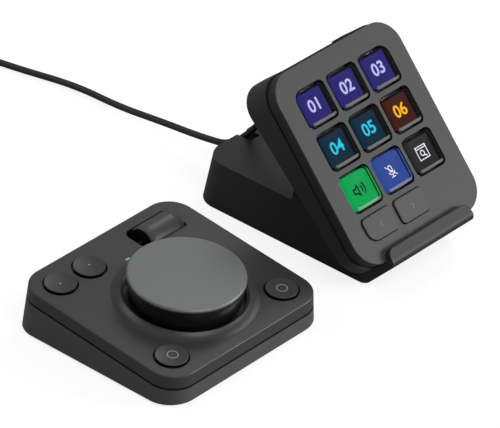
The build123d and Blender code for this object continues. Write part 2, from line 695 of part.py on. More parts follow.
def make_contacts():
    pieces = []
    plate_h = 2 * CELL_R
    for y, way in CELL_ROWS:
        flat = Box(CONTACT_T, CELL_R * 1.7, plate_h, align=CENTRE)
        for side in (-1, 1):
            x = BAY_X + side * (BAY_LEN / 2 - CONTACT_T / 2)
            pieces.append(Pos(x, y, CELL_Z) * flat)
            reach = CONTACT_ROOM - CONTACT_T
            if side == -way:
                spring = Cone(SPRING_R, SPRING_TIP_R, reach, align=ON_TOP)
            else:
                spring = rod(CELL_NUB_R, reach)
            start = BAY_X + side * (BAY_LEN / 2 - CONTACT_T)
            pieces.append(Pos(start, y, CELL_Z) * Rot(0, -90 * side, 0) * spring)
    return Compound(pieces)


def make_door():
    door = Pos(BAY_X, BAY_Y, FOOT_H) * Box(DOOR_LEN, DOOR_D, DOOR_T, align=ON_TOP)
    for x in LUGS:
        reach = HINGE_OUT + DOOR_T
        door += Pos(x, HINGE_Y + reach / 2, FOOT_H) * Box(LUG_W, reach, DOOR_T, align=ON_TOP)
        door += Pos(x, HINGE_Y, HINGE_Z) * Rot(0, 90, 0) * rod(BARREL_R, LUG_W, CENTRE)
    for x in LUGS:
        door -= Pos(x, HINGE_Y, HINGE_Z) * Rot(0, 90, 0) * rod(DOOR_PIN_R + STATIC_FIT, LUG_W, CENTRE)
    notch = rod(GRIP_NOTCH_R, GRIP_NOTCH_T) & Box(4 * GRIP_NOTCH_R, 2 * GRIP_NOTCH_R, 1, align=(
        Align.CENTER, Align.MAX, Align.MIN))
    return door - Pos(BAY_X, DOOR_BACK - GRIP_NOTCH_R / 2, FOOT_H) * notch


def make_door_pins():
    pin = Rot(0, 90, 0) * rod(DOOR_PIN_R, DOOR_PIN_LEN, CENTRE)
    return Compound([Pos(x, HINGE_Y, HINGE_Z) * pin for x in LUGS])


# ---------------------------------------------------------------- switches on the underside
def make_power_slider():
    low = FOOT_H + KNOB_SINK
    x = SWITCH_X - SWITCH_TRAVEL / 2
    knob = Pos(x, SWITCH_Y, low) * Box(KNOB_LEN, KNOB_W, FLOOR_Z + SEAT_FIT - low, align=ON_TOP)
    knob += Pos(x, SWITCH_Y, FLOOR_Z + SEAT_FIT) * Box(SLIDER_LEN, SLIDER_W, SLIDER_T, align=ON_TOP)
    return knob


def switch_case(length, width):
    height = SEAT_FIT + SLIDER_T + PAIR_TRAVEL + CASE_ROOM
    outer = Box(length + 2 * CASE_WALL, width + 2 * CASE_WALL, height + CASE_WALL, align=ON_TOP)
    return Pos(0, 0, FLOOR_Z) * (outer - Box(length, width, height, align=ON_TOP))


def make_power_case():
    length = SLIDER_LEN + SWITCH_TRAVEL + 2 * SLIDE_FIT
    return Pos(SWITCH_X, SWITCH_Y, 0) * switch_case(length, SLIDER_W + 2 * SLIDE_FIT)


def make_pairing_button():
    low = FOOT_H + KNOB_SINK
    button = rod(PAIR_R, FLOOR_Z + SEAT_FIT - low)
    button = Pos(0, 0, low) * chamfer(button.edges().group_by(Axis.Z)[0], 0.3)
    button += Pos(0, 0, FLOOR_Z + SEAT_FIT) * rod(PAIR_FLANGE_R, SLIDER_T)
    return Pos(PAIR_X, PAIR_Y, 0) * button


def make_pairing_case():
    across = 2 * (PAIR_FLANGE_R + SLIDE_FIT)
    return Pos(PAIR_X, PAIR_Y, 0) * switch_case(across, across)


def build_dial_pad():
    upright = {
        "dialpad_top_cover": make_top_cover(),
        "dialpad_base": make_base(),
        "dialpad_feet": make_feet(),
        "dialpad_screws": make_screws(),
        "dialpad_board": make_pad_board(),
        "battery_cells": make_cells(),
        "battery_contacts": make_contacts(),
        "battery_door": make_door(),
        "battery_door_pins": make_door_pins(),
        "power_slider": make_power_slider(),
        "power_switch_case": make_power_case(),
        "pairing_button": make_pairing_button(),
        "pairing_switch_case": make_pairing_case(),
        "dial_disc": DIAL_AT * make_disc(),
        "dial_skirt": DIAL_AT * make_skirt(),
        "dial_shaft": DIAL_AT * make_shaft(),
        "dial_clip": DIAL_AT * make_clip(),
        "dial_bush": DIAL_AT * make_bush(),
        "dial_encoder": DIAL_AT * make_encoder(),
        "roller_drum": ROLLER_AT * make_drum(),
        "roller_axle": SLOT_AT * make_axle(),
        "roller_tub": SLOT_AT * make_tub(),
        "button_domes": PLATE * make_domes(BUTTONS.values(), -BOARD_TOP),
        "status_light": PLATE * make_light(),
    }
    for name, (x, y) in BUTTONS.items():
        upright[name] = PLATE * Pos(x, y, 0) * make_button()
    for name, shape in upright.items():
        parts[name] = PAD_AT * shape


# ================================================================ keypad
# Face frame: origin at the middle of the face's lower edge, X right, Y up the face, Z out of it.
FACE = STAND_AT * Pos(0, FACE_Y, FACE_Z) * Rot(FACE_TILT, 0, 0)
BACK = Pos(0, 0, -HEEL_T) * Rot(-WEDGE, 0, 0)
BLOCK_W = KEYPAD_W - 2 * KEY_SIDE
BLOCK_H = KEYPAD_H - KEY_ABOVE - PAGE_BELOW - PAGE_H - PAGE_GAP
KEY_HOLE_W = (BLOCK_W - 2 * COLUMN_GAP) / 3
KEY_HOLE_H = (BLOCK_H - 2 * ROW_GAP) / 3
COLUMN_PITCH = KEY_HOLE_W + COLUMN_GAP
ROW_PITCH = KEY_HOLE_H + ROW_GAP
KEY_GRID_Y = KEYPAD_H - KEY_ABOVE - BLOCK_H / 2
PAGE_Y = PAGE_BELOW + PAGE_H / 2
COLUMNS = [-COLUMN_PITCH, 0, COLUMN_PITCH]
ROWS = [KEY_GRID_Y + ROW_PITCH, KEY_GRID_Y, KEY_GRID_Y - ROW_PITCH]
PAGES = {"page_key_left": -COLUMN_PITCH, "page_key_right": 0.0}
KEY_BOSSES = [
    (sx * (KEYPAD_W / 2 - KEY_BOSS_IN), y) for sx in (-1, 1) for y in (KEY_BOSS_IN, KEYPAD_H - KEY_BOSS_IN)
]
KEY_FLANGE_TOP = -BEZEL_T - SEAT_FIT
KEY_LOW = KEY_FLANGE_TOP - KEY_FLANGE_T
MAT_TOP = KEY_LOW - KEY_TRAVEL - MAT_GAP
PANEL_TOP = MAT_TOP - MAT_T - MAT_GAP
SOCKET_AT = BACK * Pos(0, KEYPAD_H - SOCKET_DOWN, 0)


def keypad_outline(inset):
    shape = RectangleRounded(KEYPAD_W - 2 * inset, KEYPAD_H - 2 * inset, KEYPAD_R - inset)
    return Pos(0, KEYPAD_H / 2, 0) * shape


def bezel_outline(inset):
    """Outline of the face plate, a little smaller and rounder than the rear shell's."""
    drawn_in = 2 * (BEZEL_IN + inset)
    shape = RectangleRounded(KEYPAD_W - drawn_in, KEYPAD_H - drawn_in, BEZEL_R - inset)
    return Pos(0, KEYPAD_H / 2, 0) * shape


def key_radii(column, row):
    """Corner radii of a display key; the block's two upper outer corners are rounder."""
    upper_left = KEY_OUTER_R if (column, row) == (0, 0) else KEY_HOLE_R
    upper_right = KEY_OUTER_R if (column, row) == (2, 0) else KEY_HOLE_R
    return [upper_left, upper_right, KEY_HOLE_R, KEY_HOLE_R]


def page_radii(name):
    lower_left = KEY_OUTER_R if name == "page_key_left" else PAGE_R
    return [PAGE_R, PAGE_R, PAGE_R, lower_left]


def key_prism(width, height, radii, grow, low, high):
    shape = plate_shape(width + 2 * grow, height + 2 * grow, [radius + grow for radius in radii])
    return Pos(0, 0, low) * extrude(shape, amount=high - low)


def key_shape(radii, grow):
    return plate_shape(KEY_HOLE_W + 2 * grow, KEY_HOLE_H + 2 * grow, [radius + grow for radius in radii])


def key_places():
    for row, y in enumerate(ROWS):
        for column, x in enumerate(COLUMNS):
            yield 3 * row + column + 1, x, y, key_radii(column, row)


def make_face_plate():
    back = Pos(0, 0, -BEZEL_H) * bezel_outline(BEZEL_TAPER)
    plate = loft([back, bezel_outline(0)], ruled=True)
    plate = fillet(plate.faces().sort_by(Axis.Z)[-1].edges(), BEZEL_EDGE_R)
    plate -= Pos(0, 0, -BEZEL_H) * extrude(keypad_outline(HOUSING_WALL), amount=BEZEL_H - BEZEL_T)
    for x, y in KEY_BOSSES:
        plate += Pos(x, y, -BEZEL_H) * rod(KEY_BOSS_R, BEZEL_H - BEZEL_T)
        plate -= Pos(x, y, -BEZEL_H) * rod(SCREW_R + STATIC_FIT, SCREW_ABOVE + STATIC_FIT)
    for number, x, y, radii in key_places():
        plate -= Pos(x, y, 0) * key_prism(KEY_HOLE_W, KEY_HOLE_H, radii, 0, -BEZEL_H, 1)
    for name, x in PAGES.items():
        plate -= Pos(x, PAGE_Y, 0) * key_prism(KEY_HOLE_W, PAGE_H, page_radii(name), 0, -BEZEL_H, 1)
    return plate


def make_rear_shell():
    deep = HEEL_T + KEYPAD_H
    behind = BACK * space_below()
    body = Pos(0, 0, -deep) * extrude(keypad_outline(0), amount=deep - BEZEL_H - SEAM) - behind
    body = fillet(body.faces().sort_by(Axis.Z)[0].edges(), HOUSING_EDGE_R)
    neck = Pos(0, 0, -BEZEL_H - 2 * SEAM) * extrude(bezel_outline(SEAM_DEPTH), amount=2 * SEAM)
    room = Pos(0, 0, -deep) * extrude(keypad_outline(HOUSING_WALL), amount=deep)
    room -= BACK * Pos(0, 0, HOUSING_WALL) * space_below()
    shell = body + neck - room
    for x, y in KEY_BOSSES:
        boss = Pos(x, y, -BEZEL_H) * rod(KEY_BOSS_R, deep, BELOW)
        shell += boss - BACK * Pos(0, 0, HOUSING_WALL / 2) * space_below()
    for x, y in KEY_BOSSES:
        seat = -BEZEL_H - KEY_SCREW_DOWN
        shell -= Pos(x, y, seat) * rod(SCREW_HEAD_R + 2 * STATIC_FIT, deep, BELOW)
        shell -= Pos(x, y, 0) * rod(SCREW_R + STATIC_FIT, FAR, CENTRE)
    grip = Pos(0, KEYPAD_H, -GRIP_FROM) * Box(GRIP_W, 2 * GRIP_DEPTH, deep, align=BELOW)
    shell -= grip
    hole = SlotOverall(SOCKET_W + 2 * STATIC_FIT, SOCKET_H + 2 * STATIC_FIT)
    return shell - SOCKET_AT * extrude(hole, amount=HOUSING_WALL, both=True)


def make_key(radii):
    bevel_low = KEY_TOP - KEY_BEVEL_DROP
    levels = [
        (KEY_LOW, KEY_FIT),
        (bevel_low - KEY_SIDE_DROP, KEY_FIT),
        (bevel_low, KEY_FIT + KEY_SIDE_IN),
        (KEY_TOP, KEY_FIT + KEY_SIDE_IN + KEY_BEVEL),
    ]
    cap = loft([Pos(0, 0, z) * key_shape(radii, -inset) for z, inset in levels], ruled=True)
    cap -= Pos(0, 0, KEY_TOP - KEY_DISH + KEY_DISH_R) * Sphere(KEY_DISH_R)
    return cap + key_prism(KEY_HOLE_W, KEY_HOLE_H, radii, KEY_FLANGE, KEY_LOW, KEY_FLANGE_TOP)


def make_page_key(name):
    radii = page_radii(name)
    fit = -KEY_FIT
    cap = key_prism(KEY_HOLE_W, PAGE_H, radii, fit, KEY_LOW, PAGE_RISE)
    cap = fillet(cap.faces().sort_by(Axis.Z)[-1].edges(), PAGE_EDGE_R)
    cap += key_prism(KEY_HOLE_W, PAGE_H, radii, KEY_FLANGE, KEY_LOW, KEY_FLANGE_TOP)
    stem_end = DOME_T + PAGE_TRAVEL + STEM_GAP - KEY_BOARD_TOP
    return cap + Pos(0, 0, stem_end) * Box(STEM_W, STEM_D, KEY_LOW - stem_end, align=ON_TOP)


def make_mat():
    mat = Pos(0, 0, MAT_TOP - MAT_T) * extrude(keypad_outline(MAT_IN), amount=MAT_T)
    for number, x, y, radii in key_places():
        mat -= Pos(x, y, 0) * Box(KEY_HOLE_W - 2 * VIEW_SIDE, KEY_HOLE_H - 2 * VIEW_END, FAR, align=CENTRE)
    for x in PAGES.values():
        mat -= Pos(x, PAGE_Y, 0) * Box(STEM_W + 2 * SLIDE_FIT, STEM_D + 2 * SLIDE_FIT, FAR, align=CENTRE)
    for x, y in KEY_BOSSES:
        mat -= Pos(x, y, 0) * rod(KEY_BOSS_R + SLIDE_FIT, FAR, CENTRE)
    return mat


def make_panel():
    shape = RectangleRounded(BLOCK_W + 2 * PANEL_MORE, BLOCK_H + 2 * PANEL_MORE, PANEL_R)
    return Pos(0, KEY_GRID_Y, PANEL_TOP - PANEL_T) * extrude(shape, amount=PANEL_T)


def make_key_board():
    board = Pos(0, 0, -KEY_BOARD_TOP - KEY_BOARD_T) * extrude(keypad_outline(MAT_IN), amount=KEY_BOARD_T)
    for x, y in KEY_BOSSES:
        board -= Pos(x, y, 0) * rod(KEY_BOSS_R + SLIDE_FIT, FAR, CENTRE)
    return board


def make_socket():
    depth = SOCKET_DEPTH
    outside = extrude(SlotOverall(SOCKET_W, SOCKET_H), amount=depth)
    room = extrude(SlotOverall(SOCKET_W - 2 * SOCKET_T, SOCKET_H - 2 * SOCKET_T), amount=depth - SOCKET_T)
    tongue = Box(TONGUE_W, TONGUE_T, depth - 1, align=ON_TOP)
    return outside - room + Pos(0, 0, 1) * tongue


def make_key_screws():
    tip = -BEZEL_H + SCREW_ABOVE
    return Compound([Pos(x, y, 0) * screw(KEY_SCREW_DOWN + SCREW_ABOVE, tip) for x, y in KEY_BOSSES])


def build_keypad():
    in_face = {
        "keypad_face_plate": make_face_plate(),
        "keypad_rear_shell": make_rear_shell(),
        "key_mat": make_mat(),
        "display_panel": make_panel(),
        "keypad_board": make_key_board(),
        "page_domes": make_domes([(x, PAGE_Y) for x in PAGES.values()], -KEY_BOARD_TOP),
        "keypad_socket": SOCKET_AT * make_socket(),
        "keypad_screws": make_key_screws(),
    }
    for number, x, y, radii in key_places():
        in_face[f"display_key_{number}"] = Pos(x, y, 0) * make_key(radii)
    for name, x in PAGES.items():
        in_face[name] = Pos(x, PAGE_Y, 0) * make_page_key(name)
    for name, shape in in_face.items():
        parts[name] = FACE * shape


# ================================================================ stand
def in_stand(y, z):
    """A point of the face frame, as (y, z) of the stand's upright frame."""
    tilt = math.radians(FACE_TILT)
    back = FACE_Y + y * math.cos(tilt) - z * math.sin(tilt)
    return (back, FACE_Z + y * math.sin(tilt) + z * math.cos(tilt))


def on_back(height):
    """Point of the keypad's back at a height over the table, as (y, z) of the stand's frame."""
    heel_y, heel_z = in_stand(0, -HEEL_T)
    slope = math.tan(math.radians(FACE_TILT - WEDGE))
    return (heel_y + (height - heel_z) / slope, height)


def stand_body():
    lip_z = LIP_GAP + LIP_T
    rear_top = STAND_REAR - REAR_LEAN
    knee = (STAND_FRONT, STAND_LIFT)
    nose = in_stand(-SHELF_T, lip_z)
    outline = [
        knee,
        nose,
        in_stand(0, lip_z),
        in_stand(0, -HEEL_T),
        on_back(STAND_H),
        (rear_top, STAND_H),
        (STAND_REAR, STAND_LIFT),
    ]
    body = profile(outline, STAND_W, {nose: NOSE_R, knee: ARM_R})
    steep = [edge for edge in body.edges() if abs(edge.tangent_at(0.5).Z) > 0.9]
    return fillet([edge for edge in steep if edge.center().Y > rear_top], REAR_R)


def stand_lip():
    height = LIP_ROOT + LIP_RISE
    plate = plate_shape(STAND_W, height, [LIP_R, LIP_R, 0, 0])
    lip = Pos(0, LIP_RISE - height / 2, LIP_GAP) * extrude(plate, amount=LIP_T)
    front = lip.faces().sort_by(Axis.Z)[-1].edges()
    lip = fillet(front.sort_by(Axis.Y)[1:], LIP_EDGE_R)
    return Pos(0, FACE_Y, FACE_Z) * Rot(FACE_TILT, 0, 0) * lip


def stand_rest():
    root = STAND_H - REST_ROOT
    low = on_back(root)
    outline = [low, on_back(REST_TOP), (REST_BACK, REST_TOP), (REST_FOOT, STAND_H), (REST_FOOT, root)]
    rest = profile(outline, STAND_W - 2 * CHEEK_IN)
    inner = [
        (low[0] + 2 * STAND_WALL, root),
        (REST_FOOT - STAND_WALL, root),
        (REST_BACK - STAND_WALL, REST_TOP - 3 * STAND_WALL),
    ]
    return rest - profile(inner, STAND_W - 2 * CHEEK_IN - 2 * STAND_WALL)


def stand_hollow():
    high = STAND_H - STAND_WALL
    wall = STAND_WALL * math.sqrt(2)
    front_z = HOLLOW_FRONT - on_back(STAND_H)[0] + STAND_H - wall
    outline = [
        (HOLLOW_FRONT, 0),
        (HOLLOW_FRONT, front_z),
        (on_back(high)[0] + wall, high),
        (STAND_REAR - REAR_LEAN - STAND_WALL, high),
        (STAND_REAR - STAND_WALL, 0),
    ]
    hollow = profile(outline, STAND_W - 2 * STAND_WALL)
    steep = [edge for edge in hollow.edges() if abs(edge.tangent_at(0.5).Z) > 0.9]
    rear = [edge for edge in steep if edge.center().Y > STAND_REAR - REAR_LEAN - STAND_WALL]
    return fillet(rear, REAR_R - STAND_WALL)


def make_stand():
    shell = stand_body() + stand_lip() + stand_rest() - stand_hollow()
    behind = (Align.CENTER, Align.MIN, Align.MIN)
    trough = Box(NOTCH_W + 2 * STAND_WALL, FAR, STAND_H - NOTCH_FLOOR + STAND_WALL, align=behind)
    shell += Pos(0, NOTCH_FROM - STAND_WALL, NOTCH_FLOOR - STAND_WALL) * trough & stand_body()
    return shell - Pos(0, NOTCH_FROM, NOTCH_FLOOR) * Box(NOTCH_W, FAR, FAR, align=behind)


def base_plate_outline(inset):
    length = STAND_REAR - STAND_WALL - HOLLOW_FRONT - 2 * inset
    width = STAND_W - 2 * STAND_WALL - 2 * inset
    corner = REAR_R - STAND_WALL - inset
    shape = plate_shape(width, length, [corner, corner, 0, 0])
    return Pos(0, HOLLOW_FRONT + inset + length / 2, 0) * shape


STRIP_ROWS = [HOLLOW_FRONT + STRIP_IN, STAND_REAR - STRIP_REAR_IN]
STRIPS = [(sx * (STAND_W / 2 - STRIP_IN), y) for sx in (-1, 1) for y in STRIP_ROWS]


def make_base_plate():
    plate = Pos(0, 0, STAND_LIFT) * extrude(base_plate_outline(PLATE_SEAT), amount=BASE_PLATE_T)
    for x, y in STRIPS:
        plate -= Pos(x, y, 0) * rod(STRIP_R + STATIC_FIT, STRIP_H)
    return plate


def make_stand_feet():
    return Compound([Pos(x, y, 0) * rod(STRIP_R, STRIP_H) for x, y in STRIPS])


def build_stand():
    upright = {
        "stand_shell": make_stand(),
        "stand_base_plate": make_base_plate(),
        "stand_feet": make_stand_feet(),
    }
    for name, shape in upright.items():
        parts[name] = STAND_AT * shape


# ================================================================ cable
PLUG_AT = FACE * SOCKET_AT * Rot(180, 0, 0)      # Z runs out of the keypad's back
CABLE_START = (PLUG_AT * Pos(0, 0, PLUG_GAP + PLUG_LEN + BOOT_LEN)).position
CABLE_KNEE = (PLUG_AT * Pos(0, 0, PLUG_GAP + PLUG_LEN + BOOT_LEN + KNEE_RUN)).position
TABLE_RUN = [                                     # from the stand's middle and the dial pad's centre
    (0.2, 57.8, 14.1),
    (1.0, 78.4, 10.0),
    (1.7, 103.0, 7.1),
    (3.4, 130.0, 2.3),
    (4.0, 158.0, CABLE_R),
    (-3.0, 186.0, CABLE_R),
    (-8.0, 212.0, CABLE_R),
]
TAIL_RUN = [                                      # from the far side of the coil
    (0.0, 0.0, CABLE_R),
    (-25.0, 2.5, CABLE_R),
    (-48.0, -4.0, TAIL_PLUG_H / 2),
    (-70.0, -6.0, TAIL_PLUG_H / 2),
]
COIL_AT = (-30.0, 238.0)
COIL_SIDE = COIL_R + (COIL_TURNS - 1) * CABLE_R   # radius of the outer turn
COIL_HALF = COIL_TURNS * CABLE_R


def route():
    points = [tuple(CABLE_START), tuple(CABLE_KNEE)]
    points += [(KEYPAD_X + x, SET_Y + y, z) for x, y, z in TABLE_RUN]
    points.append((KEYPAD_X + COIL_AT[0] + COIL_SIDE, SET_Y + COIL_AT[1], CABLE_R))
    return [Vector(*point) for point in points]


def tail_route():
    start = Vector(KEYPAD_X + COIL_AT[0], SET_Y + COIL_AT[1] + COIL_SIDE, 0)
    return [start + Vector(*step) for step in TAIL_RUN]


def bend_radii(points):
    radii = []
    for before, corner, after in zip(points, points[1:], points[2:]):
        turn = math.radians((corner - before).get_angle(after - corner))
        shorter = min((corner - before).length, (after - corner).length)
        radii.append(0.45 * shorter / math.tan(turn / 2))
    return radii


def cable_wire(points):
    radii = bend_radii(points)
    print("bend radii", [round(radius, 1) for radius in radii])
    return FilletPolyline(*points, radius=radii)


def cable_along(wire):
    return sweep(Plane(origin=wire @ 0, z_dir=wire % 0) * Circle(CABLE_R), path=wire)


def at_end(points):
    """Plane at the end of a route, its Z along the last run."""
    return Plane(origin=points[-1], x_dir=(points[-1] - points[-2]).cross(Vector(0, 0, 1)),
                 z_dir=points[-1] - points[-2])


def overmould(width, height, length, radius):
    body = extrude(RectangleRounded(width, height, radius), amount=length)
    return fillet(body.edges().group_by(Axis.Z)[-1], 0.8)


def boot(length, start_r):
    return Cone(start_r, CABLE_R + BOOT_TIP, length, align=ON_TOP)


def make_plug():
    return Pos(0, 0, PLUG_GAP) * overmould(PLUG_W, PLUG_H, PLUG_LEN, PLUG_H / 2 - 0.2)


def make_plug_shell():
    outside = SlotOverall(PLUG_SHELL_W, PLUG_SHELL_H)
    inside = SlotOverall(PLUG_SHELL_W - 2 * PLUG_SHELL_T, PLUG_SHELL_H - 2 * PLUG_SHELL_T)
    shell = extrude(outside, amount=PLUG_SHELL_LEN + PLUG_GAP) - extrude(inside, amount=PLUG_SHELL_LEN)
    return Pos(0, 0, -PLUG_SHELL_LEN) * shell


def make_coil():
    section = Pos(COIL_R, COIL_HALF, 0) * RectangleRounded(2 * COIL_HALF, 2 * COIL_HALF, CABLE_R)
    return revolve(Plane.XZ * section, Axis.Z)


def make_tie():
    inner = Pos(COIL_R, COIL_HALF, 0) * RectangleRounded(
        2 * COIL_HALF + 2 * STATIC_FIT, 2 * COIL_HALF + 2 * STATIC_FIT, CABLE_R
    )
    outer = Pos(COIL_R, COIL_HALF, 0) * RectangleRounded(
        2 * COIL_HALF + 2 * TIE_T, 2 * COIL_HALF + 2 * TIE_T, CABLE_R + TIE_T
    )
    band = revolve(Plane.XZ * (outer - inner), Axis.Z, revolution_arc=TIE_ARC)
    return band


def build_cable():
    points = route()
    wire = cable_wire(points)
    tail = tail_route()
    tail_wire = cable_wire(tail)
    print("cable on the table", round(wire.length, 1), "tail", round(tail_wire.length, 1))
    turns = (CABLE_LENGTH - wire.length - tail_wire.length) / (2 * math.pi * COIL_R)
    print("turns in the coil", round(turns, 1))
    parts["cable_tube"] = cable_along(wire)
    parts["cable_tail"] = cable_along(tail_wire)
    coil_at = Pos(KEYPAD_X + COIL_AT[0], SET_Y + COIL_AT[1], TIE_T)
    parts["cable_coil"] = coil_at * make_coil()
    parts["cable_tie"] = coil_at * Rot(0, 0, TIE_FROM) * make_tie()
    parts["usb_plug_shell"] = PLUG_AT * make_plug_shell()
    parts["usb_plug"] = PLUG_AT * make_plug()
    parts["usb_plug_boot"] = PLUG_AT * Pos(0, 0, PLUG_GAP + PLUG_LEN) * boot(BOOT_LEN, BOOT_R)
    end = at_end(tail).location
    far_boot = boot(BOOT_LEN, BOOT_R)
    parts["far_plug_boot"] = end * Pos(0, 0, BOOT_LEN) * Rot(180, 0, 0) * far_boot
    parts["far_plug"] = end * Pos(0, 0, BOOT_LEN) * overmould(TAIL_PLUG_W, TAIL_PLUG_H, TAIL_PLUG_LEN, 2.0)
    shell = extrude(Rectangle(TAIL_SHELL_W, TAIL_SHELL_H), amount=TAIL_SHELL_LEN)
    inside = Rectangle(TAIL_SHELL_W - 2 * TAIL_SHELL_T, TAIL_SHELL_H - 2 * TAIL_SHELL_T)
    shell -= Pos(0, 0, 1) * extrude(inside, amount=TAIL_SHELL_LEN)
    parts["far_plug_shell"] = end * Pos(0, 0, BOOT_LEN + TAIL_PLUG_LEN) * shell


build_dial_pad()
build_keypad()
build_stand()
build_cable()

os.makedirs("parts", exist_ok=True)
for name, shape in parts.items():
    export_step(shape, f"parts/{name}.step")
print("nodes", len(parts))
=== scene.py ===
from math import cos, pi, radians, sin

import bmesh
import bpy
from mathutils import Matrix, Vector


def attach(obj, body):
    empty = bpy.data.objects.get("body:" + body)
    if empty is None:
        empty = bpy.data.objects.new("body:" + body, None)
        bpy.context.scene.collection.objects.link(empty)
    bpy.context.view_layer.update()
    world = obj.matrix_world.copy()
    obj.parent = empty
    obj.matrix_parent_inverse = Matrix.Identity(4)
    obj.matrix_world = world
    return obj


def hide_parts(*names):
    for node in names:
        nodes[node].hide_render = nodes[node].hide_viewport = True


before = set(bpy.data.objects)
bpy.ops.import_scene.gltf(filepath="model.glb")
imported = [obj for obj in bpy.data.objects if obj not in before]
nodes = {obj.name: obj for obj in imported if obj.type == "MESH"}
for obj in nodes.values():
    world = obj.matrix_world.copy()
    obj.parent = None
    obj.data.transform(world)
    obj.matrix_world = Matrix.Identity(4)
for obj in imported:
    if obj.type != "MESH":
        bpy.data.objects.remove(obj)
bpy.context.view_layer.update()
bpy.ops.object.select_all(action="DESELECT")
scene = bpy.context.scene
scene.view_settings.view_transform = "Standard"


# ---------------------------------------------------------------- camera
# A long lens, held level, looks down on the two units from the front left. Its aim is set from the
# dial pad's centre.
MM = 0.001
PAD_CENTRE = Vector((-46.925, -1.24, 0.0)) * MM
CAMERA_AZIMUTH = radians(-47.19)
CAMERA_HEIGHT = radians(33.03)
CAMERA_ASIDE, CAMERA_ABOVE, CAMERA_AWAY = 0.03381, 0.04487, 1.898

camera_data = bpy.data.cameras.new("desk_camera")
camera_data.lens = 331.1
camera_data.sensor_width = 36.0
camera_data.clip_start = 0.1
camera_data.clip_end = 20.0
camera = bpy.data.objects.new("desk_camera", camera_data)
scene.collection.objects.link(camera)
camera_right = Vector((cos(CAMERA_AZIMUTH), sin(CAMERA_AZIMUTH), 0.0))
camera_back = Vector((sin(CAMERA_AZIMUTH) * cos(CAMERA_HEIGHT),
                      -cos(CAMERA_AZIMUTH) * cos(CAMERA_HEIGHT), sin(CAMERA_HEIGHT)))
camera_up = camera_back.cross(camera_right)
camera_turn = Matrix((camera_right, camera_up, camera_back)).transposed().to_4x4()
camera_place = (PAD_CENTRE + camera_right * CAMERA_ASIDE + camera_up * CAMERA_ABOVE
                + camera_back * CAMERA_AWAY)
camera.matrix_world = Matrix.Translation(camera_place) @ camera_turn
scene.camera = camera


# ---------------------------------------------------------------- keypad cable
# A thin soft cord in a thermoplastic jacket, with a moulded plug and boot at each end. It leaves the
# plug behind the keypad, drops through the notch at the rear of the stand, lies on the desk and is
# put away in a neat coil under a woven strap.
CABLE_D = 3.0 * MM
CABLE_ROUTE = [
    (0.05483, 0.02918, 0.04587), (0.05483, 0.03555, 0.03951), (0.05503, 0.05656, 0.0141),
    (0.05583, 0.07716, 0.01), (0.05653, 0.10176, 0.0071), (0.05823, 0.12876, 0.0025),
    (0.05883, 0.15676, 0.0017), (0.05183, 0.18476, 0.0017), (0.04683, 0.21076, 0.0019),
]
COIL_CENTRE = Vector((24.825, 236.76, 0.8)) * MM
COIL_TURN_R = 22.0 * MM
COIL_COLUMNS = (1, 0, -1, -1, 0, 1, 1, 0, -1)
COIL_LAYERS = (0, 0, 0, 1, 1, 1, 2, 2, 2)
COIL_STEPS = 14
STEP_OVER = 0.7                 # the share of a turn after which the cord goes over to the next place
LEAVING = ((radians(25), 0.0095), (radians(60), 0.007))     # angles and heights, down off the coil
LEAVING_OUT = 4.0 * MM
TAIL_ROUTE = [(-0.00017, 0.26426, 0.0017), (-0.02317, 0.25776, 0.0039), (-0.04517, 0.25576, 0.0039)]


def coil_points():
    """Nine turns, three side by side and three high, climbing layer by layer."""
    places = list(zip(COIL_COLUMNS, COIL_LAYERS))
    points = []
    for place, following in zip(places, places[1:] + places[-1:]):
        for step in range(COIL_STEPS):
            share = max(0.0, (step / COIL_STEPS - STEP_OVER) / (1.0 - STEP_OVER))
            column, layer = (own + (other - own) * share for own, other in zip(place, following))
            angle = 2 * pi * step / COIL_STEPS
            radius = COIL_TURN_R + column * CABLE_D
            points.append((COIL_CENTRE.x + radius * cos(angle), COIL_CENTRE.y + radius * sin(angle),
                           COIL_CENTRE.z + CABLE_D * (0.5 + layer)))
    return points


def calc(tree, operation, *values):
    """One step of arithmetic on sockets and numbers in a node tree."""
    step = tree.nodes.new("ShaderNodeMath")
    step.operation = operation
    for place, value in enumerate(values):
        if isinstance(value, (int, float)):
            step.inputs[place].default_value = value
        else:
            tree.links.new(value, step.inputs[place])
    return step.outputs[0]


